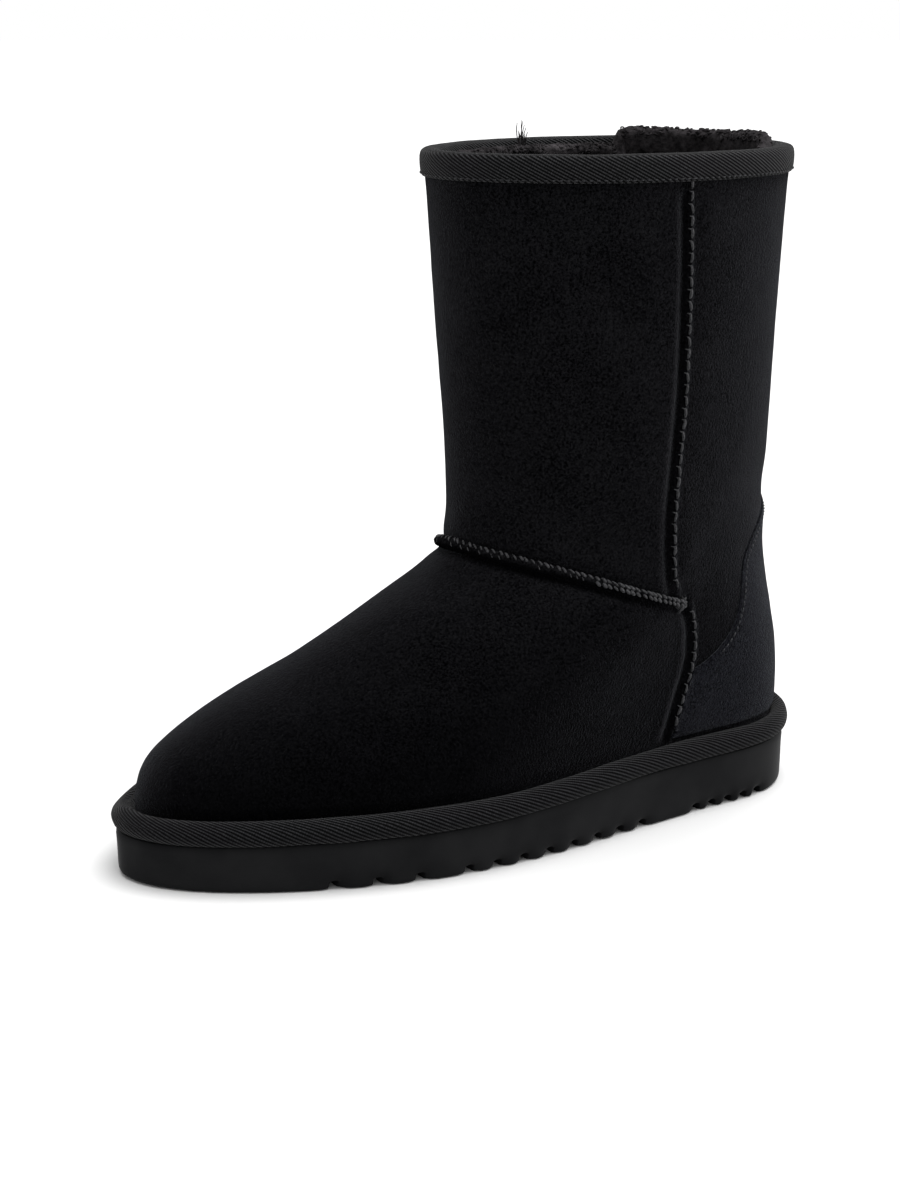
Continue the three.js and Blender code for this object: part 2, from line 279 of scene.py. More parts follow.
class Last:
    """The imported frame, measured in millimetres on the boot."""

    MERGE = 0.01  # points nearer than this are one
    ABOVE_GROOVES = 12.0
    BAY = 15.0  # the length of boot over which an edge's height is taken

    def __init__(self, nodes: dict[str, Object]) -> None:
        """Finds the boot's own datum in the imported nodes.

        Args:
            nodes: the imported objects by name.
        """
        self.nodes = nodes
        sole_low, sole_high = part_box("outsole")
        tape_low, tape_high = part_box("collar_binding")
        origin = Vector((sole_low.x, (tape_low.y + tape_high.y) / 2, 0.0))
        self.to_frame = Matrix.Translation(origin) @ Matrix.Diagonal((MM, MM, MM, 1.0))
        self.to_boot = self.to_frame.inverted()
        self.length = (sole_high.x - sole_low.x) / MM
        self.crown = tape_high.z / MM
        self.collar_middle = (self.to_boot @ ((tape_low + tape_high) / 2)).x

    def take(self, node: str) -> BMesh:
        """A merged copy of a CAD node's mesh, in boot millimetres.

        Args:
            node: the CAD node.

        Returns:
            The copy.
        """
        mesh = bmesh.new()
        mesh.from_mesh(self.nodes[node].data)
        bmesh.ops.transform(mesh, matrix=self.to_boot, verts=mesh.verts)
        bmesh.ops.remove_doubles(mesh, verts=mesh.verts, dist=self.MERGE)
        return mesh

    def places(self, node: str) -> np.ndarray:
        """A CAD node's points as rows, in boot millimetres.

        Args:
            node: the CAD node.

        Returns:
            One row for each point.
        """
        mesh = self.take(node)
        rows = points_of(mesh)
        mesh.free()
        return rows

    def sole_line(self, pitch: float) -> np.ndarray:
        """The sole's widest line seen from above, in even steps, counter-clockwise.

        Args:
            pitch: the step between two points.

        Returns:
            The line's x and y.
        """
        places = self.places("outsole")
        high = places[places[:, 2] > self.ABOVE_GROOVES]
        apart = np.linalg.norm(high[:, None, :2] - high[None, :, :2], axis=2)
        above = high[None, :, 2] - high[:, None, 2]
        rim = high[((apart < 1.5) & (above > 1.0)).any(axis=1)][:, :2]
        centre = np.array([self.length / 2, 0.0])
        rim = rim[np.argsort(np.arctan2(*(rim - centre).T[::-1]))]
        count = len(rim)
        fine = []
        for k in range(count):
            a, b, c, d = (rim[(k + i) % count] for i in (-1, 0, 1, 2))
            for t in np.linspace(0.0, 1.0, 12, endpoint=False):
                bend = (2 * a - 5 * b + 4 * c - d) * t**2 + (3 * b - a - 3 * c + d) * t**3
                fine.append(0.5 * (2 * b + (c - a) * t + bend))
        line = np.array([*fine, fine[0]])
        reach = reach_of(line)
        goals = np.linspace(0.0, reach[-1], round(reach[-1] / pitch), endpoint=False)
        return read_off(goals, reach, line)

    def edge_heights(self, node: str, pick: Callable[[np.ndarray], float]) -> Callable[[float], float]:
        """How high a node's lowest or highest points lie along the boot.

        Args:
            node: the CAD node.
            pick: np.min or np.max, taken over each bay of points.

        Returns:
            The height at a place from heel to toe.
        """
        places = self.places(node)
        middles = np.arange(places[:, 0].min(), places[:, 0].max() + self.BAY / 2, self.BAY)
        heights = [pick(places[np.abs(places[:, 0] - x) <= self.BAY, 2]) for x in middles]
        return lambda x: np.interp(x, middles, heights)

    def give(
        self,
        name: str,
        mesh: BMesh | bpy.types.Mesh,
        materials: Sequence[Material],
        slot: str,
        stands_for: str | None = None,
        sharp: float | None = None,
    ) -> None:
        """Puts a finished piece in the frame.

        Args:
            name: the piece's name.
            mesh: its mesh, in boot millimetres.
            materials: its finishes, in the order of its material indices.
            slot: not used.
            stands_for: the CAD node that it replaces.
            sharp: the angle in degrees past which an edge stays sharp.
        """
        data = baked(name, mesh) if isinstance(mesh, BMesh) else mesh
        data.transform(self.to_frame)
        data.polygons.foreach_set("use_smooth", np.ones(len(data.polygons), bool))
        if sharp is not None:
            data.set_sharp_from_angle(angle=math.radians(sharp))
        for material in materials:
            data.materials.append(material)
        piece = put(name, data)
        if stands_for:
            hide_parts(stands_for)
        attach(piece, "root")
        log.info("%s: %d faces", name, len(data.polygons))


def put(name: str, data: bpy.types.ID) -> Object:
    """A new object in the scene.

    Args:
        name: its name.
        data: what it shows.

    Returns:
        The object.
    """
    thing = bpy.data.objects.new(name, data)
    bpy.context.scene.collection.objects.link(thing)
    return thing


def baked(name: str, mesh: BMesh) -> bpy.types.Mesh:
    """The mesh as an object's data; the old mesh is freed.

    Args:
        name: the data's name.
        mesh: the mesh.

    Returns:
        The data.
    """
    data = bpy.data.meshes.new(name)
    mesh.to_mesh(data)
    mesh.free()
    return data


def open_diagonals(mesh: BMesh) -> None:
    """Turns the wall's regular net of triangles back into its four-sided faces.

    Six edges meet at every point of the net, in turn: onward round the ring, a diagonal, up
    the wall, and their opposites. One onward edge on the shaft is known by its level, and the
    others follow from it.

    Args:
        mesh: the wall.
    """

    def turn(loop: bmesh.types.BMLoop, times: int = 1) -> bmesh.types.BMLoop:
        """The loop so many edges further round its own point.

        Args:
            loop: where to start.
            times: how many edges.

        Returns:
            The loop there.
        """
        for _ in range(times):
            loop = loop.link_loop_prev.link_loop_radial_next
        return loop

    def is_onward(loop: bmesh.types.BMLoop) -> bool:
        """Whether a loop runs level round the outside of the shaft.

        Args:
            loop: the loop to look at.

        Returns:
            True if it does.
        """
        here, there = loop.vert.co, loop.link_loop_next.vert.co
        if abs(here.z - there.z) > 0.01 or not 180.0 < here.z < 210.0:
            return False
        radial = Vector((here.x - SHAFT_AXIS, here.y, 0.0))
        return radial.cross(there - here).z > 0.0 and loop.face.normal.dot(radial) > 0.0

    mesh.normal_update()
    seed = next(loop for face in mesh.faces for loop in face.loops if is_onward(loop))
    onward = {seed.vert: seed}
    waiting = [seed]
    while waiting:
        loop = waiting.pop()
        back = loop.link_loop_radial_next
        up_back = turn(loop, 2).link_loop_radial_next
        for found in (turn(back, 3), turn(up_back)):
            if found.vert not in onward:
                onward[found.vert] = found
                waiting.append(found)
    diagonals = once(turn(loop).edge for loop in onward.values())
    bmesh.ops.dissolve_edges(mesh, edges=diagonals, use_verts=False)


def modified(mesh: BMesh, dress: Callable[[Object], None]) -> BMesh:
    """The mesh after the modifiers that dress adds; the old mesh is freed.

    Args:
        mesh: the mesh.
        dress: adds modifiers to the object that it is given.

    Returns:
        The new mesh.
    """
    data = baked("blank", mesh)
    blank = put("blank", data)
    dress(blank)
    result = bmesh.new()
    result.from_object(blank, bpy.context.evaluated_depsgraph_get())
    bpy.data.objects.remove(blank)
    bpy.data.meshes.remove(data)
    return result


def rounded(mesh: BMesh) -> BMesh:
    """The mesh after a Subdivision Surface; the old mesh is freed.

    Args:
        mesh: the mesh.

    Returns:
        The new mesh.
    """

    def dress(blank: Object) -> None:
        """Adds the modifier."""
        surface = blank.modifiers.new("surface", "SUBSURF")
        surface.levels = surface.render_levels = 2

    return modified(mesh, dress)


def points_of(mesh: BMesh) -> np.ndarray:
    """The mesh's points as rows."""
    return np.array([v.co for v in mesh.verts])


def normals_of(mesh: BMesh) -> np.ndarray:
    """The outward directions at the mesh's points, as rows."""
    mesh.normal_update()
    return np.array([v.normal for v in mesh.verts])


def rim_of(mesh: BMesh) -> np.ndarray:
    """The points on the mesh's open edge, as rows."""
    return np.array([v.co for v in mesh.verts if v.is_boundary])


def smooth(mesh: BMesh, verts: Sequence[bmesh.types.BMVert]) -> None:
    """Moves some points half the way to the middle of their neighbours."""
    bmesh.ops.smooth_vert(
        mesh, verts=verts, factor=0.5, use_axis_x=True, use_axis_y=True, use_axis_z=True
    )


def move(mesh: BMesh, offsets: np.ndarray) -> None:
    """Moves every point by its own offset."""
    for vert, offset in zip(mesh.verts, offsets):
        vert.co += Vector(offset)


# ---- finishes


class Nodes:
    """A material's node tree, with short calls to add and join nodes."""

    def __init__(self, name: str, **values: float | tuple) -> None:
        """Starts a material; the values go to its shader's sockets.

        Args:
            name: the material's name.
            values: the settings.
        """
        self.material = bpy.data.materials.new(name)
        self.material.use_nodes = True
        self.tree = self.material.node_tree
        self.shader = self.tree.nodes["Principled BSDF"]
        self.set(self.shader, values)
        self.place = self.node("TexCoord")

    @staticmethod
    def set(node: bpy.types.Node, values: dict[str, float | tuple]) -> None:
        """Sets a node's sockets; an underscore stands for a space."""
        for name, value in values.items():
            node.inputs[name.replace("_", " ")].default_value = value

    def node(self, kind: str, **values: float | tuple) -> bpy.types.Node:
        """A new node with some of its sockets set.

        Args:
            kind: its type, less Blender's own prefix.
            values: the settings.

        Returns:
            The node.
        """
        node = self.tree.nodes.new(f"ShaderNode{kind}")
        self.set(node, values)
        return node

    def join(self, source: Socket, target: Socket) -> None:
        """Links two sockets."""
        self.tree.links.new(source, target)

    def grain(self, scale: float, detail: float = 2.0, rough: float = 0.5) -> Socket:
        """Noise in the piece's own metres.

        Args:
            scale: how fine it is.
            detail: how many finer layers it has.
            rough: how strong they are.

        Returns:
            Its value.
        """
        node = self.node("TexNoise", Scale=scale, Detail=detail, Roughness=rough)
        self.join(self.place.outputs["Object"], node.inputs["Vector"])
        return node.outputs["Fac"]

    def math(self, operation: str, *values: Socket | float) -> Socket:
        """One step of arithmetic.

        Args:
            operation: Blender's name for it.
            values: what it works on.

        Returns:
            Its result.
        """
        node = self.node("Math")
        node.operation = operation
        for socket, value in zip(node.inputs, values):
            if isinstance(value, (int, float)):
                socket.default_value = value
            else:
                self.join(value, socket)
        return node.outputs[0]

    def weigh(self, first: Socket, a: float, second: Socket, b: float) -> Socket:
        """The sum of two values, each times its own weight."""
        return self.math("ADD", self.math("MULTIPLY", first, a), self.math("MULTIPLY", second, b))

    def ramp(self, source: Socket, low: float, high: float) -> Socket:
        """A value stretched so that low becomes 0 and high becomes 1.

        Args:
            source: the value.
            low: what becomes 0.
            high: what becomes 1.

        Returns:
            The stretched value.
        """
        node = self.node("MapRange", From_Min=low, From_Max=high)
        self.join(source, node.inputs["Value"])
        return node.outputs["Result"]

    def colours(self, share: Socket, first: Triple, second: Triple) -> Socket:
        """A colour that goes from first to second with a share.

        Args:
            share: 0 for the first and 1 for the second.
            first: one colour.
            second: the other colour.

        Returns:
            The colour.
        """
        node = self.node("Mix")
        node.data_type = "RGBA"
        node.inputs[6].default_value = (*first, 1.0)
        node.inputs[7].default_value = (*second, 1.0)
        self.join(share, node.inputs["Factor"])
        return node.outputs[2]

    def relief(
        self,
        height: Socket,
        depth: float,
        strength: float = 1.0,
        under: Socket | None = None,
    ) -> Socket:
        """A bump of some millimetres, over another one if given.

        Args:
            height: the relief from 0 to 1.
            depth: how many millimetres 1 stands for.
            strength: how much of it is seen.
            under: the relief below it.

        Returns:
            The bent direction.
        """
        node = self.node("Bump", Strength=strength, Distance=depth * MM)
        self.join(height, node.inputs["Height"])
        if under is not None:
            self.join(under, node.inputs["Normal"])
        return node.outputs["Normal"]

    def finish(
        self,
        colour: Socket,
        normal: Socket,
        rough: Socket | None = None,
    ) -> Material:
        """Joins the colour, relief and roughness to the shader and gives the material.

        Args:
            colour: the base colour.
            normal: the relief.
            rough: the roughness, if it varies.

        Returns:
            The material.
        """
        self.join(colour, self.shader.inputs["Base Color"])
        self.join(normal, self.shader.inputs["Normal"])
        if rough is not None:
            self.join(rough, self.shader.inputs["Roughness"])
        return self.material


@dataclass(frozen=True)
class Suede:
    """Brushed skin with a short nap: clumps of fibres that lie this way and that."""

    name: str
    deep: Triple
    bloom: Triple
    sheen: float
    sheen_tint: tuple[float, float, float, float] = (0.9, 0.92, 1.0, 1.0)

    def material(self) -> Material:
        """The finish as a material; the skin's "seam" attribute holds painted shade, which darkens it.

        Returns:
            The material.
        """
        nodes = Nodes(
            self.name,
            Roughness=1.0,
            Specular_IOR_Level=0.0,
            Sheen_Weight=self.sheen,
            Sheen_Roughness=0.28,
            Sheen_Tint=self.sheen_tint,
        )
        fibre = nodes.grain(3000.0, 2.0, 0.6)
        clump = nodes.grain(1150.0, 3.0, 0.75)
        cloud = nodes.grain(45.0, 3.0, 0.55)
        mixed = nodes.weigh(clump, 0.86, cloud, 0.14)
        # the "seam" attribute is painted shade; lit is the share of the colour that the painted shade
        # leaves
        seam = nodes.node("Attribute")
        seam.attribute_name = "seam"
        lit = nodes.math("SUBTRACT", 1.0, nodes.math("MULTIPLY", seam.outputs["Fac"], 0.85))
        share = nodes.math("MULTIPLY", nodes.ramp(mixed, 0.38, 0.63), lit)
        colour = nodes.colours(share, self.deep, self.bloom)
        return nodes.finish(colour, nodes.relief(fibre, 0.2, 0.8, nodes.relief(clump, 0.7)))


@dataclass(frozen=True)
class Twill:
    """Herringbone tape: slanted ribs that turn back on themselves along its length."""

    name: str
    # painted light over the weave's rib pattern: the near-black valley colour is painted shade in the
    # rib hollows, the light crest colour a painted highlight on the rib tops
    painted_valley_shade: Triple = (0.0006, 0.0006, 0.0007)
    painted_crest_highlight: Triple = (0.039, 0.039, 0.041)
    rib: float = 1.02
    slant: float = 27.0
    weave: float = 7000.0  # the finer weave's turns, in radians to the metre

    def material(self) -> Material:
        """The finish as a material; its UV map runs along and across the tape in metres.

        Returns:
            The material.
        """
        nodes = Nodes(
            self.name, Roughness=0.85, Specular_IOR_Level=0.03, Sheen_Weight=0.06, Sheen_Roughness=0.3
        )
        parts = nodes.node("SeparateXYZ")
        nodes.join(nodes.place.outputs["UV"], parts.inputs[0])
        along, across = parts.outputs["X"], parts.outputs["Y"]
        folded = nodes.math("ABSOLUTE", across)
        turn = math.radians(self.slant)
        cycles = 1.0 / (self.rib * MM)
        phase = nodes.weigh(along, cycles * math.sin(turn), folded, cycles * math.cos(turn))
        rib = nodes.math("SINE", nodes.math("MULTIPLY", phase, 2.0 * math.pi))
        skewed = nodes.math("SUBTRACT", along, nodes.math("MULTIPLY", folded, 0.4))
        weave = nodes.math("SINE", nodes.math("MULTIPLY", skewed, self.weave))
        height = nodes.math("ADD", rib, nodes.math("MULTIPLY", weave, 0.25))
        fuzz = nodes.grain(1800.0)
        # the colour follows the rib height: painted highlight on the crests, painted shade in the
        # valleys, broken by fine fuzz
        share = nodes.math("MULTIPLY", nodes.ramp(height, -0.55, 1.15), nodes.ramp(fuzz, 0.1, 0.75))
        colour = nodes.colours(share, self.painted_valley_shade, self.painted_crest_highlight)
        return nodes.finish(colour, nodes.relief(height, 0.16))


@dataclass(frozen=True)
class Foam:
    """Moulded sole foam: matte, with a faint skin."""

    name: str = "moulded_foam"
    dark: Triple = (0.0062, 0.0063, 0.0068)
    light: Triple = (0.0092, 0.0093, 0.0098)

    def material(self) -> Material:
        """The finish as a material.

        Returns:
            The material.
        """
        nodes = Nodes(
            self.name, Roughness=0.65, Specular_IOR_Level=0.03, Sheen_Weight=0.05, Sheen_Roughness=0.3
        )
        pebble = nodes.grain(1500.0, 3.0, 0.6)
        cloud = nodes.grain(60.0)
        colour = nodes.colours(nodes.ramp(cloud, 0.35, 0.65), self.dark, self.light)
        rough = nodes.math("ADD", nodes.math("MULTIPLY", cloud, 0.2), 0.5)
        return nodes.finish(colour, nodes.relief(pebble, 0.12, 0.5), rough)


@dataclass(frozen=True)
class Wool:
    """Dense clipped fleece in small curls."""

    name: str = "clipped_wool"
    root: Triple = (0.0012, 0.0011, 0.0012)
    tip: Triple = (0.041, 0.0375, 0.0398)

    def material(self) -> Material:
        """The finish as a material.

        Returns:
            The material.
        """
        nodes = Nodes(
            self.name, Roughness=0.95, Specular_IOR_Level=0.0, Sheen_Weight=0.02, Sheen_Roughness=0.5
        )
        curl = nodes.grain(420.0, 5.0, 0.7)
        lock = nodes.grain(110.0, 3.0, 0.6)
        mixed = nodes.weigh(curl, 0.6, lock, 0.4)
        colour = nodes.colours(nodes.ramp(mixed, 0.36, 0.66), self.root, self.tip)
        return nodes.finish(colour, nodes.relief(curl, 1.2, 0.9))


@dataclass(frozen=True)
class Thread:
    """Waxed sewing thread, which catches the light."""

    name: str = "waxed_thread"
    dark: Triple = (0.004, 0.004, 0.0045)
    light: Triple = (0.042, 0.042, 0.045)

    def material(self) -> Material:
        """The finish as a material.

        Returns:
            The material.
        """
        nodes = Nodes(self.name, Roughness=0.45, Specular_IOR_Level=0.14, Sheen_Weight=0.01)
        twist = nodes.grain(2600.0)
        colour = nodes.colours(nodes.ramp(twist, 0.35, 0.65), self.dark, self.light)
        return nodes.finish(colour, nodes.relief(twist, 0.12, 0.7))


@dataclass
class Palette:
    """The boot's materials."""

    suede: Material
    roll: Material
    counter: Material
    tape: Material
    rand: Material
    foam: Material
    wool: Material
    thread: Material
    fine: Material

    @classmethod
    def mixed(cls) -> Palette:
        """Every finish, made once.

        Returns:
            The palette.
        """
        deep = (0.0002, 0.0002, 0.0003)
        bluish = (0.0002, 0.0002, 0.0004)
        return cls(
            suede=Suede("black_suede", deep, (0.0074, 0.0074, 0.0083), 0.075).material(),
            roll=Suede("rolled_suede", deep, (0.009, 0.009, 0.0098), 0.0).material(),
            counter=Suede("counter_suede", bluish, (0.0092, 0.0097, 0.0122), 0.085).material(),
            tape=Twill("collar_twill").material(),
            # the welt tape's painted highlight on its rib crests is dimmer than the collar tape's
            rand=Twill("welt_twill", painted_crest_highlight=(0.028, 0.028, 0.03), rib=1.2).material(),
            foam=Foam().material(),
            wool=Wool().material(),
            thread=Thread().material(),
            fine=Thread("fine_thread", light=(0.02, 0.02, 0.022)).material(),
        )


# ---- thread and wool


class Strands:
    """Many thin strands, each a copy of one template bent along its own path."""

    def __init__(self, sides: int, rings: int) -> None:
        """Makes the template.

        Args:
            sides: how many sides a strand has.
            rings: how many rings of points it has.
        """
        template = bmesh.new()
        bmesh.ops.create_cone(
            template, cap_ends=True, segments=sides, radius1=1.0, radius2=1.0, depth=1.0,
            matrix=Matrix.Translation((0.0, 0.0, 0.5)),
        )
        upright = [e for e in template.edges if abs(e.verts[0].co.z - e.verts[1].co.z) > 0.5]
        bmesh.ops.subdivide_edges(template, edges=upright, cuts=rings - 2, use_grid_fill=True)
        self.shape = points_of(template)
        template.verts.index_update()
        self.faces = [[v.index for v in f.verts] for f in template.faces]
        template.free()
        self.points: list[np.ndarray] = []

    def add(self, path: np.ndarray, radius: float | np.ndarray, ends: float = 0.55) -> None:
        """Lays one strand.

        Args:
            path: the points that it runs through.
            radius: its thickness in the middle, or at each point of the path.
            ends: its thickness at the two ends, as a share of the radius.
        """
        share = self.shape[:, 2] * (len(path) - 1)
        low = np.minimum(share.astype(int), len(path) - 2)
        t = (share - low)[:, None]
        middle = path[low] * (1.0 - t) + path[low + 1] * t
        along = unit(np.gradient(path, axis=0))
        way = unit(along[low] * (1.0 - t) + along[low + 1] * t)
        guide = np.where(np.abs(way[:, 2:3]) > 0.9, bearing(0.0), UP)
        first = unit(np.cross(way, guide))
        second = np.cross(way, first)
        swell = ends + (1.0 - ends) * np.sin(np.pi * self.shape[:, 2]) ** 0.5
        if isinstance(radius, np.ndarray):
            radius = radius[low] * (1.0 - t[:, 0]) + radius[low + 1] * t[:, 0]
        flat = self.shape[:, :2] * (radius * swell)[:, None]
        self.points.append(middle + first * flat[:, :1] + second * flat[:, 1:2])

    def mesh(self, name: str) -> bpy.types.Mesh:
        """All strands as one mesh.

        Args:
            name: the mesh's name.

        Returns:
            The mesh.
        """
        count = len(self.shape)
        faces = [[i + k * count for i in face] for k in range(len(self.points)) for face in self.faces]
        data = bpy.data.meshes.new(name)
        data.from_pydata(np.concatenate(self.points).tolist(), [], faces)
        return data

    def loose(self, name: str) -> BMesh:
        """All strands as one mesh that can still be shaped.

        Args:
            name: the mesh's name.

        Returns:
            The mesh.
        """
        mesh = bmesh.new()
        mesh.from_mesh(self.mesh(name))
        return mesh


def arc_path(start: np.ndarray, end: np.ndarray, rise: np.ndarray, count: int = 7) -> np.ndarray:
    """A low arch from start to end that rises by a vector in its middle."""
    t = np.linspace(0.0, 1.0, count)[:, None]
    return start * (1.0 - t) + end * t + rise * np.sin(np.pi * t)


# ---- seams


class Flank(Enum):
    """The two sides of the boot."""

    OUTER = 1
    INNER = -1


@dataclass
class SeamPlan:
    """Where the upper's seams run, the same on both flanks.

    The shaft's front and back panels meet at the side seam. It ends in a knot at the ankle,
    where the instep seam joins it and the quarter seam goes on down to the welt.
    """

    STEP = 1.5  # millimetres down a flank, or degrees round the front, between two looks at the skin

    skin: Skin
    side_line: Table = (  # height, x
        (237.0, 81.8), (206.0, 79.4), (186.0, 77.9), (158.0, 77.3), (116.0, 78.8), (94.0, 77.4),
        (87.0, 74.0),
    )
    quarter_line: Table = (
        (81.0, 67.6), (72.0, 65.1), (62.0, 64.5), (53.0, 66.6), (43.5, 70.2), (31.0, 74.2),
    )
    instep_top: float = 106.3  # the instep seam's height at the front
    instep_drop: float = 23.6  # how far it comes down to the knot
    instep_round: float = 0.15  # the share of the way that it takes to start down
    instep_dip: float = 2.2  # how far it sags on the inner side of the front
    instep_turn: float = 99.0  # the angle from the front to the knot

    def down(self, line: Table, flank: Flank) -> Route:
        """A route down one flank through a table of heights and places.

        Args:
            line: heights, each with its x.
            flank: which flank.

        Returns:
            The route, from the top down.
        """
        heights, places = np.array(line)[::-1].T
        goals = np.arange(heights[-1], heights[0], -self.STEP)
        marks = zip(np.interp(goals, heights, places), goals)
        return self.skin.route(self.skin.from_side(x, z, flank.value) for x, z in marks)

    def instep_height(self, degrees: float) -> float:
        """The instep seam's height at an angle from the front.

        Args:
            degrees: the angle, positive on the outer side.

        Returns:
            The height.
        """
        soft = self.instep_round
        share = (math.hypot(degrees / self.instep_turn, soft) - soft) / (math.hypot(1.0, soft) - soft)
        dip = self.instep_dip * float(bell(degrees, -32.0, 22.0))
        return self.instep_top - self.instep_drop * share - dip

    def instep(self) -> Route:
        """The instep seam, from the inner knot round the front to the outer one.

        Returns:
            The route.
        """
        angles = np.arange(-self.instep_turn, self.instep_turn + 0.5, self.STEP)
        return self.skin.route(
            self.skin.from_round(SHAFT_AXIS, angle, self.instep_height(angle)) for angle in angles
        )


@dataclass
class Overlock:
    """Overlock stitching down a flat seam: dashes along it, each with a leg over its edge."""

    pitch: float = 4.2
    dash: tuple[float, float] = (0.08, 0.9)  # where in its pitch a dash starts and ends
    proud: float = 0.35  # how far it stands off the skin
    thread: float = 0.52
    leg: float = 1.1
    leg_thread: float = 0.2

    def sew(self, strands: Strands, route: Route, forward: float) -> None:
        """Adds the stitches of one seam.

        Args:
            strands: where the stitches go.
            route: the seam.
            forward: 1 or -1, the sign of the route's across that points to the toe.
        """
        for k in range(int(route.length / self.pitch)):
            here, there = (route.at((k + share) * self.pitch) for share in self.dash)
            wobble = 0.34 * math.sin(2.3 * k)
            start = here.point + here.across * wobble + here.normal * self.proud
            end = there.point - there.across * wobble + there.normal * self.proud
            girth = self.thread * (1.0 + 0.16 * math.sin(5.1 * k))
            strands.add(arc_path(start, end, here.normal * self.proud), girth, 0.35)
            foot = here.point + here.across * forward * self.leg * (1.0 + 0.3 * math.sin(3.7 * k))
            strands.add(arc_path(foot, start + here.along * 0.5, here.normal * 0.4), self.leg_thread)


@dataclass
class RopeSeam:
    """The instep's proud seam: a rolled edge with beads of thread along its upper face."""

    core: float = 2.0
    front: float = 0.4  # how much thicker it is at the middle of the front
    core_side: float = 1.45  # the roll thins towards the ankles
    stand: float = 0.95
    pitch: float = 2.3
    ripple: float = 1.25  # the pitch of the finer thread
    slant: float = -1.9
    thread: float = 0.55
    parted: float = 0.58  # from this share of the way to the ankle the beads run in two rows

    def girth(self, share: np.ndarray | float) -> np.ndarray:
        """The roll's radius at a share of the way to the ankle."""
        thinned = self.core + (self.core_side - self.core) * smoothstep(0.25, 0.95, share)
        return thinned + self.front * (1.0 - smoothstep(0.03, 0.13, share))

    def _lift(self, girth: np.ndarray | float) -> np.ndarray | float:
        """How far the roll's middle stands off the skin."""
        return girth * self.stand / self.core + 0.2

    def roll(self, strands: Strands, route: Route) -> None:
        """Lays the rolled edge, pinched a little by each bead and rippled by the finer thread.

        Args:
            strands: where the roll goes.
            route: the seam.
        """
        girth = self.girth(np.abs(np.linspace(-1.0, 1.0, len(route.points))))
        beat = np.arange(len(route.points)) * route.pitch * 2.0 * math.pi
        lumps = 0.1 * np.sin(beat / self.pitch) + 0.07 * np.sin(beat / self.ripple)
        lumps += 0.2 * wander(route.points, 4.0, 8.0)
        strands.add(route.points + route.normals * self._lift(girth)[:, None], girth + lumps, 0.8)

    def _arc(self, route: Route, middle: float, low: float, high: float, slant: float) -> np.ndarray:
        """A bit of thread round the roll, from one angle to another; 0 faces straight out.

        Args:
            route: the seam.
            middle: how far along it the thread lies.
            low: its first angle in degrees.
            high: its last one.
            slant: how far it moves along the seam between them.

        Returns:
            The points that it runs through.
        """
        points = []
        for share in np.linspace(0.0, 1.0, 6):
            place = middle + (share - 0.5) * slant
            spot = route.at(place)
            girth = float(self.girth(abs(2.0 * place / route.length - 1.0)))
            turn = math.radians(low + (high - low) * share)
            centre = spot.point + spot.normal * self._lift(girth)
            out = spot.normal * math.cos(turn) + spot.across * math.sin(turn)
            points.append(centre + girth * 0.98 * out)
        return np.array(points)

    def wrap(self, strands: Strands, route: Route) -> None:
        """Adds the beads of thread.

        Args:
            strands: where the beads go.
            route: the seam.
        """
        random = np.random.default_rng(SEED)
        for k in range(int(route.length / self.pitch)):
            middle = (k + 0.5 + random.uniform(-0.2, 0.2)) * self.pitch
            share = abs(2.0 * middle / route.length - 1.0)
            fuller = 0.72 + 0.28 * float(smoothstep(0.2, 0.6, share))
            weight = self.thread * random.uniform(0.7, 1.25) * fuller
            low, high = random.uniform(16.0, 32.0), random.uniform(70.0, 92.0)
            slant = self.slant * random.uniform(0.6, 1.2)
            strands.add(self._arc(route, middle, low, high, slant), weight, 0.6)
            if share > self.parted:
                strands.add(self._arc(route, middle + 0.6, -38.0, 2.0, self.slant), weight, 0.6)
            elif random.uniform() < 0.35:
                strands.add(self._arc(route, middle, -24.0, 12.0, -0.8), 0.22)


@dataclass
class AnkleKnot:
    """The lump of thread where the three seams meet."""

    turns: int = 13
    size: float = 2.3

    def tie(self, strands: Strands, centre: np.ndarray, normal: np.ndarray) -> None:
        """Adds loops of thread, one over another, at an ankle.

        Args:
            strands: where they go.
            centre: the ankle's place on the skin.
            normal: the outward direction there.
        """
        up = unit(UP - normal * normal[2])
        side = np.cross(normal, up)
        for k in range(self.turns):
            turn = k * 2.4
            way = up * math.cos(turn) + side * math.sin(turn)
            reach = self.size * (0.8 + 0.3 * math.sin(3.1 * k))
            shift = (up * math.sin(1.9 * k) + side * math.cos(2.7 * k)) * 1.3
            middle = centre + shift + normal * (0.3 + 0.1 * k)
            strands.add(arc_path(middle - way * reach, middle + way * reach, normal * 0.8), 0.42)


# ---- the upper


@dataclass
class Fold:
    """A soft trough or ridge placed on the upper."""

    flank: Flank
    x: float
    z: float
    lean: float  # degrees that its length leans from level towards the toe
    length: float
    width: float
    height: float  # below 0 for a trough

    def rise(self, places: np.ndarray) -> np.ndarray:
        """How far each place is pushed out.

        Args:
            places: points of the skin.

        Returns:
            One number for each point.
        """
        turn = math.radians(self.lean)
        dx, dz = places[:, 0] - self.x, places[:, 2] - self.z
        along = dx * math.cos(turn) + dz * math.sin(turn)
        across = -dx * math.sin(turn) + dz * math.cos(turn)
        same_side = smoothstep(-12.0, 12.0, self.flank.value * places[:, 1])
        shape = bell(along, 0.0, self.length) * bell(across, 0.0, self.width)
        return self.height * same_side * shape


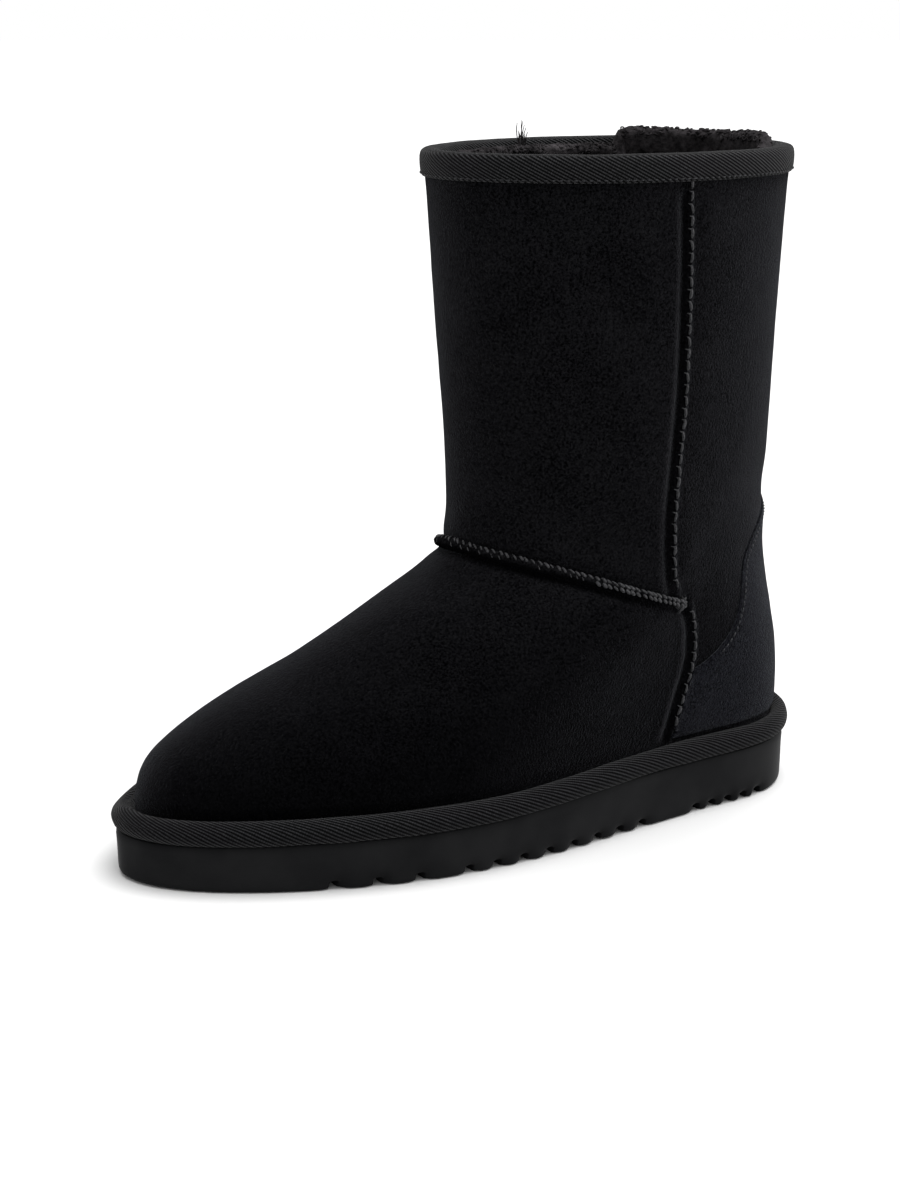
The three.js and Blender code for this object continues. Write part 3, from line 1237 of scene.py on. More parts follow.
@dataclass
class Upper:
    """The sheepskin upper: suede outside, wool inside, with its seams and soft folds."""

    FOOT = 22.0  # the wall's lower edge lies below this height

    last: Last
    palette: Palette
    folds: tuple[Fold, ...] = (
        Fold(Flank.OUTER, 112, 112, 12, 26, 7, -0.9),
        Fold(Flank.INNER, 110, 114, 10, 26, 7, -0.9),
        Fold(Flank.OUTER, 30, 121, 8, 22, 8, -0.8),
        Fold(Flank.INNER, 32, 119, 4, 22, 8, -0.8),
        Fold(Flank.OUTER, 150, 70, -32, 24, 8, 0.5),
        Fold(Flank.OUTER, 178, 42, -20, 20, 7, -0.6),
        Fold(Flank.INNER, 180, 44, -22, 22, 7, -0.6),
    )
    swell: float = 0.55  # the skin's own unevenness
    curl: float = 1.0  # the height of the wool's locks
    section: tuple[Triple, ...] = (  # swells across a flat seam: height, middle, width
        (-0.8, 0.0, 6.0), (-0.95, 2.7, 2.2), (0.9, 0.0, 1.3), (0.35, 6.0, 2.2),
    )
    fade: float = 3.0  # how soon a seam's relief dies away past its end
    fine: tuple[float, ...] = (9.0, 5.0)  # how near a seam the faces are halved once, and again
    skin: Skin = field(init=False)
    sides: dict[Flank, Route] = field(init=False)
    quarters: dict[Flank, Route] = field(init=False)
    instep: Route = field(init=False)

    def __post_init__(self) -> None:
        """Makes the smooth wall and lays the seams on it."""
        wall = self.last.take("upper")
        open_diagonals(wall)
        self._mark_inside(wall)
        self.wall = rounded(wall)
        self.skin = Skin(self.wall)
        plan = SeamPlan(self.skin)
        self.sides = {flank: plan.down(plan.side_line, flank) for flank in Flank}
        self.quarters = {flank: plan.down(plan.quarter_line, flank) for flank in Flank}
        self.instep = plan.instep()

    def _mark_inside(self, wall: BMesh) -> None:
        """Gives the wall's inside, with its two edges, the second material.

        Args:
            wall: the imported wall.
        """
        wall.normal_update()
        top = max(v.co.z for v in wall.verts)
        edges = {
            f for f in wall.faces
            if (f.normal.z < -0.9 and f.calc_center_median().z < self.FOOT)
            or (f.normal.z > 0.9 and f.calc_center_median().z > top - 0.5)
        }
        start = max(wall.faces, key=lambda f: f.calc_center_median().x)
        outside = {start}
        waiting = [start]
        while waiting:
            for edge in waiting.pop().edges:
                for face in edge.link_faces:
                    if face not in outside and face not in edges:
                        outside.add(face)
                        waiting.append(face)
        for face in wall.faces:
            face.material_index = OUTSIDE if face in outside else INSIDE

    def _refine(self, reach: float, routes: Sequence[Route]) -> None:
        """Halves the outer faces that lie near a seam.

        Args:
            reach: how near.
            routes: the seams.
        """
        faces = [f for f in self.wall.faces if f.material_index == OUTSIDE]
        places = np.array([f.calc_center_median() for f in faces])
        near = np.zeros(len(faces), bool)
        for route in routes:
            gaps = np.linalg.norm(places[:, None] - route.points[None, ::4], axis=2).min(axis=1)
            near |= gaps < reach
        edges = once(e for f, close in zip(faces, near) if close for e in f.edges)
        made = bmesh.ops.subdivide_edges(self.wall, edges=edges, cuts=1, use_grid_fill=True)
        fresh = [v for v in made["geom_inner"] if isinstance(v, bmesh.types.BMVert)]
        smooth(self.wall, fresh)

    def _seam_rise(self, places: np.ndarray) -> Pair:
        """How the seams pull the skin in and roll its edges, and the shade painted in them.

        Args:
            places: points of the outer face.

        Returns:
            How far each point is pushed out, and the shade painted on it in a seam, from 0 to 1.
        """
        rise = np.zeros(len(places))
        shade = np.zeros(len(places))
        for route, toe_side in self.flat_seams():
            gap, past = route.measure(places)
            gap = gap * toe_side
            fade = bell(past, 0.0, self.fade)
            for height, middle, width in self.section:
                rise += height * bell(gap, middle, width) * fade
            # painted shade in the trench on the toe side of a flat seam
            shade = np.maximum(shade, 0.72 * bell(gap, 2.0, 2.0) * fade)
        gap, past = self.instep.measure(places)
        fade = bell(past, 0.0, self.fade)
        # painted shadow under the instep's roll
        shade = np.maximum(shade, bell(gap, -2.8, 1.6) * fade)
        return rise - 1.7 * bell(gap, 0.0, 4.4) * fade, shade

    def flat_seams(self) -> list[tuple[Route, int]]:
        """The side and quarter seams, each with the sign of across that points to the toe.

        Returns:
            Pairs of a seam and its sign.
        """
        found = []
        for flank in Flank:
            for route in (self.sides[flank], self.quarters[flank]):
                found.append((route, 1 if route.across[0][0] > 0 else -1))
        return found

    def build(self) -> None:
        """Shapes the wall and hands it over."""
        routes = [*self.sides.values(), *self.quarters.values(), self.instep]
        for reach in self.fine:
            self._refine(reach, routes)
        places, normals = points_of(self.wall), normals_of(self.wall)
        inside = np.array([all(f.material_index for f in v.link_faces) for v in self.wall.verts])
        outside = np.array([not any(f.material_index for f in v.link_faces) for v in self.wall.verts])
        rise = np.zeros(len(places))
        shade = np.zeros(len(places))
        rise[outside], shade[outside] = self._seam_rise(places[outside])
        # painted shade: the upper's outside darker towards the sole
        painted_low_shade = 1.0 - smoothstep(28.0, 122.0, places[:, 2])
        shade = np.maximum(shade, 0.84 * painted_low_shade * outside)
        # painted shadow along the top of the welt, where the upper meets it
        above_welt = places[:, 2] - self.last.edge_heights("welt", np.max)(places[:, 0])
        shade = np.maximum(shade, 1.0 - smoothstep(1.0, 6.5, above_welt))
        skin = places[outside]
        rise[outside] += sum(fold.rise(skin) for fold in self.folds)
        rise[outside] += self.swell * wander(skin, 42.0) + 0.12 * wander(skin, 9.0, 3.0)
        low = smoothstep(28.0, 34.0, places[:, 2])
        high = 1.0 - smoothstep(229.0, 233.0, places[:, 2])
        rise[outside] *= (low * high)[outside]
        locks = wander(places[inside], 6.0, 5.0) + 0.5 * wander(places[inside], 2.8, 9.0)
        edge = 1.0 - smoothstep(self.last.crown - 14.0, self.last.crown - 9.0, places[inside][:, 2])
        rise[inside] = self.curl * (0.35 + locks) * edge
        move(self.wall, normals * rise[:, None])
        self.skin = Skin(self.wall)
        # the painted shade goes into the skin's seam attribute, which darkens the suede
        depth = self.wall.verts.layers.float.new("seam")
        for vert, value in zip(self.wall.verts, shade):
            vert[depth] = value
        finishes = [self.palette.suede, self.palette.wool]
        self.last.give("sheepskin_upper", self.wall.copy(), finishes, "suede", "upper")


@dataclass
class Stitching:
    """All the thread that shows on the upper."""

    upper: Upper
    overlock: Overlock = field(default_factory=Overlock)
    rope: RopeSeam = field(default_factory=RopeSeam)
    knot: AnkleKnot = field(default_factory=AnkleKnot)
    stand_off: float = 12.0  # from here a route is cast back on the finished skin

    def build(self) -> None:
        """Sews every seam."""
        last, palette = self.upper.last, self.upper.palette
        strands = Strands(sides=6, rings=6)
        for route, toe_side in self.upper.flat_seams():
            self.overlock.sew(strands, self._on_skin(route), toe_side)
        instep = self._on_skin(self.upper.instep)
        self.rope.wrap(strands, instep)
        for end in (0, -1):
            self.knot.tie(strands, instep.points[end], instep.normals[end])
        last.give("seam_thread", strands.mesh("seam_thread"), [palette.thread], "thread")
        roll = Strands(sides=14, rings=360)
        self.rope.roll(roll, instep)
        mesh = roll.loose("instep_roll")
        # painted shade on the roll's underside, kept in its seam attribute
        depth = mesh.verts.layers.float.new("seam")
        for vert, normal in zip(mesh.verts, normals_of(mesh)):
            vert[depth] = 0.85 * float(smoothstep(0.7, -0.3, normal[2]))
        last.give("instep_roll", mesh, [palette.roll], "suede")

    def _on_skin(self, route: Route) -> Route:
        """The route laid again on the finished skin.

        Args:
            route: a route on the smooth wall.

        Returns:
            The new route.
        """
        hits = []
        for point, normal in zip(route.points, route.normals):
            start = Vector(point + normal * self.stand_off)
            found, _, _, _ = self.upper.skin.tree.ray_cast(start, Vector(-normal))
            hits.append(np.array(found) if found is not None else point)
        return Route(evened(np.array(hits), np.ones(7) / 7.0), route.normals, route.pitch)


# ---- tape, sole and inside


def band_map(mesh: BMesh, across: Callable[[Vector, float], float], turns: np.ndarray) -> None:
    """Gives a closed band a UV map in metres: along its ring, and across its tape.

    Args:
        mesh: the band, in boot millimetres.
        across: the place across the tape of a point that lies so far inside the ring.
        turns: the ring's line from above, counter-clockwise; the first point follows the last.
    """
    line = np.vstack([turns, turns[:1]])[:, :2]
    step = np.diff(line, axis=0)
    length2 = (step**2).sum(axis=1)
    reach = reach_of(line)
    total = reach[-1]

    def measure(place: Vector) -> tuple[float, float]:
        """A point's place along and across the tape.

        Args:
            place: the point.

        Returns:
            Both in millimetres.
        """
        offset = np.array(place.xy) - line[:-1]
        share = np.clip((offset * step).sum(axis=1) / length2, 0.0, 1.0)
        gap = offset - step * share[:, None]
        k = int(np.argmin((gap**2).sum(axis=1)))
        inward = (step[k][0] * gap[k][1] - step[k][1] * gap[k][0]) / math.sqrt(length2[k])
        return reach[k] + share[k] * (reach[k + 1] - reach[k]), across(place, inward)

    uv = mesh.loops.layers.uv.new("tape")
    found = {v: measure(v.co) for v in mesh.verts}
    for face in mesh.faces:
        first = found[face.verts[0]][0]
        for loop in face.loops:
            u, v = found[loop.vert]
            if u - first > total / 2:
                u -= total
            elif first - u > total / 2:
                u += total
            loop[uv].uv = (u * MM, v * MM)


def quads(mesh: BMesh) -> BMesh:
    """Joins a band's triangles in pairs.

    Args:
        mesh: the band, which is changed in place.

    Returns:
        The same mesh.
    """
    bmesh.ops.join_triangles(
        mesh, faces=mesh.faces[:], angle_face_threshold=math.pi, angle_shape_threshold=math.pi
    )
    return mesh


def band_of(last: Last, node: str) -> tuple[BMesh, np.ndarray, np.ndarray]:
    """A CAD band rounded off, with its points and its outward directions there."""
    band = rounded(quads(last.take(node)))
    return band, points_of(band), normals_of(band)


def ring_line(mesh: BMesh, middle: float) -> np.ndarray:
    """The outer edge of a band, seen from above, at even angles round its middle.

    Args:
        mesh: the band.
        middle: x of the band's middle.

    Returns:
        The edge's x and y, counter-clockwise.
    """
    places = points_of(mesh)
    centre = np.array([middle, 0.0])
    gaps = places[:, :2] - centre
    angles = np.arctan2(gaps[:, 1], gaps[:, 0])
    reach = np.linalg.norm(gaps, axis=1)
    goals = np.linspace(-math.pi, math.pi, BEARINGS, endpoint=False)
    width = math.radians(1.0)
    line = []
    for goal in goals:
        off = np.abs((angles - goal + math.pi) % (2 * math.pi) - math.pi)
        close = np.where(off < width)[0]
        if not len(close):
            close = np.argsort(off)[:4]
        far = reach[close].max()
        line.append([centre[0] + far * math.cos(goal), centre[1] + far * math.sin(goal)])
    return np.array(line)


@dataclass
class CollarTape:
    """The tape bound over the collar's edge, with its row of small stitches."""

    last: Last
    palette: Palette
    fold: float = 12.0  # from the crown down to where the herringbone turns back
    stitch: float = 2.5
    dash: float = 0.55  # the share of a stitch that shows
    thread: float = 0.27
    stitch_line: float = 8.4  # how far below the crown the stitches run
    edge: float = 1.6  # how far in from its outer face the tape's top begins
    lip: float = 6.8  # and how far in it turns down inside the collar

    def build(self) -> None:
        """Makes the tape and its stitches."""
        band, places, normals = band_of(self.last, "collar_binding")
        crown, middle = self.last.crown, self.last.collar_middle
        line = ring_line(band, middle)
        move(band, normals * (0.18 * wander(places, 14.0) + 0.05 * wander(places, 4.0, 2.0))[:, None])

        def across(place: Vector, inward: float) -> float:
            """The place across the tape, counted from where its weave turns back.

            Args:
                place: a point of the band.
                inward: how far it lies inside the outer edge.

            Returns:
                Millimetres, positive below the turn on the outer face.
            """
            drop = crown - place.z
            if inward < self.edge:
                return drop - self.fold
            if inward < self.lip:
                return -self.fold - inward
            return -self.fold - self.lip - drop

        band_map(band, across, line)
        face = Skin(band)
        height = crown - self.stitch_line
        angles = np.arange(0.0, 361.0, 1.5)
        route = face.route(face.from_round(middle, angle, height) for angle in angles)
        strands = Strands(sides=6, rings=4)
        for k in range(int(route.length / self.stitch)):
            start, end = route.at(k * self.stitch), route.at((k + self.dash) * self.stitch)
            strands.add(arc_path(start.point, end.point, start.normal * 0.25, 4), self.thread)
        self.last.give("collar_tape", band, [self.palette.tape], "tape", "collar_binding")
        name = "collar_stitches"
        self.last.give(name, strands.mesh(name), [self.palette.fine], "thread")


@dataclass
class WeltTape:
    """The taped rand between the upper and the sole."""

    last: Last
    palette: Palette
    fold: float = 0.6  # from its lower edge up to where the herringbone turns back
    bend: float = 6.0  # where it starts to turn in over the upper
    pressed: float = 3.0  # how far its top is pressed down round the inner side of the toe

    def build(self) -> None:
        """Makes the band."""
        band, places, normals = band_of(self.last, "welt")
        lows = self.last.edge_heights("welt", np.min)
        inner_toe = smoothstep(232.0, 262.0, places[:, 0]) * smoothstep(-12.0, -32.0, places[:, 1])
        pressed = self.pressed * inner_toe * smoothstep(2.0, 9.0, places[:, 2] - lows(places[:, 0]))
        lumps = 0.3 * wander(places, 18.0) + 0.08 * wander(places, 5.0, 2.0)
        move(band, normals * lumps[:, None] - np.outer(pressed, UP))

        def across(place: Vector, inward: float) -> float:
            """The place across the tape, counted from where its weave turns back.

            Args:
                place: a point of the band.
                inward: how far it lies inside the sole's edge.

            Returns:
                Millimetres, positive above the turn.
            """
            high = place.z - float(lows(place.x))
            over = max(0.0, 2.2 + inward) if high > self.bend else 0.0
            return high + over - self.fold

        band_map(band, across, self.last.sole_line(4.0))
        self.last.give("welt_tape", band, [self.palette.rand], "tape", "welt")


@dataclass
class Outsole:
    """The moulded foam sole, with cross grooves that scallop its walking edge."""

    last: Last
    palette: Palette
    grooves: tuple[float, ...] = (
        *np.linspace(30.0, 61.0, 5), *np.linspace(88.0, 165.0, 8), *np.linspace(183.0, 212.0, 3),
    )
    groove_wide: float = 3.8
    groove_deep: float = 3.2
    groove_round: float = 1.2
    bar: tuple[float, float] = (160.0, 8.0)  # the length and height of a bar that cuts a groove
    settle: float = 0.3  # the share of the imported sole's lift that stays at the arch and the toe
    scallop: float = 2.2  # how far the walking edge draws in at a groove
    scallop_wide: float = 2.9
    pitch: float = 1.1
    section: Table = (  # height above the ground, and how far it lies in
        (0.0, 2.1), (0.25, 1.3), (0.7, 0.75), (1.4, 0.42), (2.4, 0.3), (3.6, 0.27), (5.2, 0.25),
        (8.0, 0.2),
    )
    shoulder: Table = ((-6.0, 0.15), (-2.6, 0.0), (-1.0, 0.2), (-0.3, 0.8))

    def _block(self) -> BMesh:
        """The sole before its grooves are cut.

        Returns:
            The closed mesh.
        """
        line = self.last.sole_line(self.pitch)
        along = unit(np.roll(line, -1, axis=0) - np.roll(line, 1, axis=0))
        outward = np.stack([along[:, 1], -along[:, 0]], axis=1)
        under = self.last.edge_heights("outsole", np.min)
        top = self.last.edge_heights("outsole", np.max)
        near = bell(line[:, :1], np.array(self.grooves), self.scallop_wide).max(axis=1)
        near *= smoothstep(0.35, 0.8, np.abs(outward[:, 1]))
        rings = []
        for height, inward in (*self.section, *self.shoulder):
            if height < 0.0:
                z = top(line[:, 0]) + height + 0.3
            else:
                z = self.settle * under(line[:, 0]) + height
                inward = inward + self.scallop * near * (1.0 - smoothstep(2.2, 5.0, height))
            inset = np.broadcast_to(inward, len(line))
            rings.append(np.column_stack([line - outward * inset[:, None], z]))
        mesh = bmesh.new()
        loop = [mesh.verts.new(p) for p in rings[0]]
        edges = [mesh.edges.new((loop[k - 1], loop[k])) for k in range(len(loop))]
        bmesh.ops.contextual_create(mesh, geom=edges)
        for below, ring in zip(rings, rings[1:]):
            made = bmesh.ops.extrude_edge_only(mesh, edges=edges)["geom"]
            edges = [e for e in made if isinstance(e, bmesh.types.BMEdge) and e.is_boundary]
            fresh = {tuple(v.co): v for e in edges for v in e.verts}
            for base, point in zip(below, ring):
                fresh[tuple(Vector(base))].co = point
        bmesh.ops.contextual_create(mesh, geom=edges)
        bmesh.ops.recalc_face_normals(mesh, faces=mesh.faces)
        return mesh

    def _cutters(self) -> Object:
        """A rounded bar for each groove.

        Returns:
            One object with all the bars.
        """
        under = self.last.edge_heights("outsole", np.min)
        long, high = self.bar
        mesh = bmesh.new()
        for x in self.grooves:
            bar = bmesh.ops.create_cube(mesh, size=1.0)["verts"]
            roof = self.settle * float(under(x)) + self.groove_deep
            bmesh.ops.scale(mesh, vec=(self.groove_wide, long, high), verts=bar)
            bmesh.ops.translate(mesh, vec=(x, 0.0, roof - high / 2), verts=bar)
            edges = once(
                e for v in bar for e in v.link_edges
                if all(abs(w.co.z - roof) < 0.01 for w in e.verts)
                and abs(e.verts[0].co.y - e.verts[1].co.y) > 1.0
            )
            bmesh.ops.bevel(
                mesh, geom=edges, offset=self.groove_round, segments=3, profile=0.5,
                affect="EDGES", material=-1,
            )
        return put("groove_bars", baked("groove_bars", mesh))

    def build(self) -> None:
        """Makes the sole and cuts its grooves."""
        bars = self._cutters()

        def dress(blank: Object) -> None:
            """Adds the cut, and a bevel that softens its edges.

            Args:
                blank: the object to dress.
            """
            cut = blank.modifiers.new("grooves", "BOOLEAN")
            cut.operation, cut.solver, cut.object = "DIFFERENCE", "EXACT", bars
            soften = blank.modifiers.new("soften", "BEVEL")
            soften.width, soften.segments, soften.limit_method = 0.5, 2, "ANGLE"
            soften.angle_limit = math.radians(50.0)

        sole = modified(self._block(), dress)
        bpy.data.objects.remove(bars)
        self.last.give("foam_outsole", sole, [self.palette.foam], "foam", "outsole", sharp=40.0)


@dataclass
class HeelCounter:
    """The suede overlay round the heel, sewn down along its edge."""

    upper: Upper
    thick: float = 1.15
    stitch: float = 2.3
    stitch_in: float = 1.9
    dash: float = 0.6  # the share of a stitch that shows
    thread: float = 0.24
    covered: float = 62.0  # below this height the quarter seam covers the edge
    facing: float = 0.55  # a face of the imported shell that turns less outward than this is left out
    sliver: float = 1.6  # and so is one with an edge this short
    cuts: int = 3
    eased: int = 10  # the rounds of smoothing on its cut edge
    lean: Table = (  # height, and how far the edge moves to the toe
        (44.0, 0.0), (56.0, -1.0), (62.0, -2.5), (68.0, -2.5), (77.0, 0.5), (84.0, 4.5),
        (90.0, 8.5), (96.0, 11.0), (102.0, 10.5), (109.0, 6.0), (117.0, 0.0),
    )
    lean_reach: float = 34.0  # how far in from the edge it is moved along
    behind: float = 1.3  # how far behind the quarter seam its front edge stays

    def build(self) -> None:
        """Lays the overlay on the finished skin and sews it."""
        last, palette = self.upper.last, self.upper.palette
        sheet = quads(last.take("heel_counter"))
        self._keep_outer(sheet)
        bmesh.ops.subdivide_edges(sheet, edges=sheet.edges, cuts=self.cuts, use_grid_fill=True)
        for _ in range(3):
            smooth(sheet, [v for v in sheet.verts if not v.is_boundary])
        self._ease_rim(sheet)
        self._lean_rim(sheet)
        self._trim_front(sheet)
        rim = self._rim(sheet)
        self._lay(sheet)
        sheet.normal_update()
        strands = Strands(sides=6, rings=4)
        edge = Route(np.array([v.co for v in rim]), np.array([v.normal for v in rim]), 1.0)
        for k in range(int(edge.length / self.stitch)):
            start, end = edge.at(k * self.stitch), edge.at((k + self.dash) * self.stitch)
            if start.point[2] < self.covered:
                continue
            inward = -math.copysign(self.stitch_in, start.across[0] + start.across[2])
            near, far = start.point + start.across * inward, end.point + end.across * inward
            strands.add(arc_path(near, far, start.normal * 0.25, 4), self.thread)
        bmesh.ops.solidify(sheet, geom=sheet.faces[:], thickness=self.thick)
        finish = [palette.counter]
        last.give("suede_counter", sheet, finish, "counter_suede", "heel_counter", sharp=50.0)
        last.give("counter_stitches", strands.mesh("counter_stitches"), [palette.thread], "thread")

    def _keep_outer(self, sheet: BMesh) -> None:
        """Leaves only the overlay's outer face.

        Args:
            sheet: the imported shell.
        """
        sheet.normal_update()
        away = []
        for face in sheet.faces:
            middle = face.calc_center_median()
            outward = Vector((middle.x - SHAFT_AXIS, middle.y, 0.0)).normalized()
            shortest = min(e.calc_length() for e in face.edges)
            if face.normal.dot(outward) < self.facing or shortest < self.sliver:
                away.append(face)
        bmesh.ops.delete(sheet, geom=away, context="FACES")

    def _ease_rim(self, sheet: BMesh) -> None:
        """Rounds off the steps in the overlay's cut edge.

        Args:
            sheet: the outer face.
        """
        around = {}
        for vert in sheet.verts:
            if vert.is_boundary:
                ends = [e.other_vert(vert) for e in vert.link_edges if e.is_boundary]
                first, second = ((end.co - vert.co).normalized() for end in ends)
                if first.dot(second) < -0.4:
                    around[vert] = ends
        for _ in range(self.eased):
            goals = {v: v.co * 0.5 + (a.co + b.co) * 0.25 for v, (a, b) in around.items()}
            for vert, goal in goals.items():
                vert.co = goal

    def _lean_rim(self, sheet: BMesh) -> None:
        """Bows the cut edge out towards the toe above the ankle, and back below it.

        Args:
            sheet: the outer face.
        """
        heights, shifts = np.array(self.lean).T
        rim = rim_of(sheet)
        for vert in sheet.verts:
            gap = float(np.linalg.norm(rim - np.array(vert.co), axis=1).min())
            arm = Vector((vert.co.x - SHAFT_AXIS, vert.co.y))
            shift = float(np.interp(vert.co.z, heights, shifts))
            shift *= 1.0 - float(smoothstep(0.0, self.lean_reach, gap))
            shift *= float(smoothstep(16.0, 26.0, abs(vert.co.y)))
            turn = -math.copysign(1.0, vert.co.y) * shift / arm.length
            arm.rotate(Matrix.Rotation(turn, 2))
            vert.co.x, vert.co.y = SHAFT_AXIS + arm.x, arm.y

    def _trim_front(self, sheet: BMesh) -> None:
        """Cuts the overlay's front edge just behind the quarter seam.

        Args:
            sheet: the outer face.
        """
        heights, places = np.array(SeamPlan.quarter_line)[::-1].T
        limits = {v: float(np.interp(v.co.z, heights, places)) - self.behind for v in sheet.verts}
        away = [f for f in sheet.faces if all(v.co.x > limits[v] for v in f.verts)]
        bmesh.ops.delete(sheet, geom=away, context="FACES")
        for vert in sheet.verts:
            vert.co.x = min(vert.co.x, limits[vert])
        bmesh.ops.dissolve_degenerate(sheet, dist=0.15, edges=sheet.edges)

    def _rim(self, sheet: BMesh) -> list[bmesh.types.BMVert]:
        """The points of the upper edge in order, from the inner side round the heel to the outer.

        Args:
            sheet: the outer face.

        Returns:
            The points.
        """
        low = min(v.co.z for v in sheet.verts) + 4.0
        rim = [v for v in sheet.verts if v.is_boundary and v.co.z > low]
        angles = {v: math.atan2(v.co.y, v.co.x - SHAFT_AXIS) for v in rim}
        return sorted(rim, key=lambda v: -angles[v] % (2 * math.pi), reverse=True)

    def _lay(self, sheet: BMesh) -> None:
        """Moves the overlay onto the skin, thinner at its edge.

        Args:
            sheet: the outer face.
        """
        sheet.normal_update()
        rim = rim_of(sheet)
        for vert in sheet.verts:
            point, normal, _, _ = self.upper.skin.tree.find_nearest(vert.co)
            gap = float(np.linalg.norm(rim - np.array(vert.co), axis=1).min())
            plump = self.thick * (0.72 + 0.28 * float(smoothstep(0.0, 2.5, gap)))
            vert.co = point + normal * plump


@dataclass
class Fleece:
    """The wool inside the collar: a soft roll behind the tape, and curls on it and below it.

    The back lining is cut longer than the front one, so that its wool stands above the tape
    from the inner side seam round to the heel.
    """

    upper: Upper
    radius: float = 2.5
    low: float = 5.2  # how far the roll's middle lies below the crown at the front
    lift: float = 6.1  # how much higher it lies where it stands
    hang: float = 2.4  # how much further its underside reaches there
    inset: float = 2.4
    met: float = 16.0  # how far below the crown the lining is met
    deep: float = 32.0  # how far down the curls are made
    curls: int = 3300
    tuft: int = 16  # the hairs of a loose tuft on the roll
    tuft_at: float = -84.0  # its angle, from the front to the inner side

    def _standing(self, degrees: np.ndarray) -> np.ndarray:
        """How much of the lift the roll has at angles round the collar, from -180 to 180.

        Args:
            degrees: the angles.

        Returns:
            Shares from 0 to 1.
        """
        inner = smoothstep(-130.5, -133.0, degrees)
        round_heel = smoothstep(146.0, 168.0, degrees)
        return np.maximum(inner, round_heel) * (0.93 + 0.07 * np.sin(np.radians(degrees * 7.0)))

    def build(self) -> None:
        """Makes the roll and its curls."""
        last, palette = self.upper.last, self.upper.palette
        lining = Skin(self.upper.wall, INSIDE)
        axis = np.array([last.collar_middle, 0.0, 0.0])

        def inner(degrees: float, z: float) -> Pair:
            """The lining's place at an angle and height, and the way to it."""
            way = bearing(degrees)
            return lining.cast(Vector(axis + UP * z), Vector(way))[0], way

        angles = np.arange(-180.0, 180.1, 1.0)
        middles = []
        for angle, standing in zip(angles, self._standing(angles)):
            point, way = inner(angle, last.crown - self.met)
            middles.append(point - way * self.inset + UP * (self.met - self.low + self.lift * standing))
        middles = np.array(middles)
        roll = Strands(sides=22, rings=560)
        roll.add(middles, self.radius, 1.0)
        mesh = roll.loose("fleece_roll")
        places, normals = points_of(mesh), normals_of(mesh)
        lumps = 0.5 * wander(places, 5.0) + 0.45 * wander(places, 2.2, 4.0)
        lumps += 0.3 * wander(places, 1.1, 9.0)
        around = np.degrees(np.arctan2(places[:, 1], places[:, 0] - last.collar_middle))
        below = np.minimum(places[:, 2] - np.interp(around, angles, middles[:, 2]), 0.0)
        hang = self.hang * below * self._standing(around)
        move(mesh, normals * lumps[:, None] + UP * hang[:, None])
        last.give("fleece_roll", mesh, [palette.wool], "wool")

        def middle_at(degrees: float) -> np.ndarray:
            """The middle of the roll at an angle."""
            return middles[int((degrees + 180.0) / 360.0 * (len(middles) - 1))]

        random = np.random.default_rng(SEED)
        strands = Strands(sides=5, rings=6)
        for k in range(self.curls):
            angle = random.uniform(-180.0, 180.0)
            if k % 3 == 0:  # on the roll
                tilt = math.radians(random.uniform(-20.0, 120.0))
                out = -bearing(angle) * math.cos(tilt) + UP * math.sin(tilt)
                root = middle_at(angle) + out * (self.radius + random.uniform(-0.9, -0.2))
            else:  # on the lining below it
                drop = 6.0 + self.deep * random.uniform(0.0, 1.0) ** 1.2
                root, way = inner(angle, last.crown - drop)
                out = -way
            self._curl(strands, root, out, random)
        for k in range(self.tuft):
            root = middle_at(self.tuft_at + 0.35 * k) + UP * 1.5
            tip = root + UP * random.uniform(4.5, 9.0) + random.uniform(-1.6, 1.6, 3)
            strands.add(arc_path(root, tip, random.uniform(-0.8, 0.8, 3), 5), 0.2, 0.5)
        last.give("fleece_curls", strands.mesh("fleece_curls"), [palette.wool], "wool")

    def _curl(
        self, strands: Strands, root: np.ndarray, out: np.ndarray, random: np.random.Generator
    ) -> None:
        """Lays one curl of wool flat on its root.

        Args:
            strands: where it goes.
            root: its place.
            out: the direction away from the skin.
            random: the source of its unevenness.
        """
        first = unit(np.cross(out, random.normal(size=3)))
        second = np.cross(out, first)
        size = random.uniform(0.6, 1.4)
        turn = np.linspace(0.0, random.uniform(2.4, 4.6), 6)[:, None]
        spiral = first * np.cos(turn) + second * np.sin(turn)
        path = root + spiral * size * (1.0 - 0.09 * turn) + out * (0.15 + 0.4 * np.sin(turn))
        strands.add(path, random.uniform(0.3, 0.55), 0.5)


@dataclass
class WoolFootbed:
    """The footbed, covered with the same wool."""

    last: Last
    palette: Palette
    grain: float = 1.9

    def build(self) -> None:
        """Makes the footbed."""

        def dress(blank: Object) -> None:
            """Adds the even net of faces that the wool needs."""
            cells = blank.modifiers.new("cells", "REMESH")
            cells.mode, cells.voxel_size = "VOXEL", self.grain

        bed = modified(self.last.take("insole"), dress)
        places, normals = points_of(bed), normals_of(bed)
        lumps = 0.45 * wander(places, 6.0) + 0.35 * wander(places, 2.8, 4.0) - 0.45
        move(bed, normals * lumps[:, None])
        self.last.give("wool_footbed", bed, [self.palette.wool], "wool", "insole")


# ---- the studio


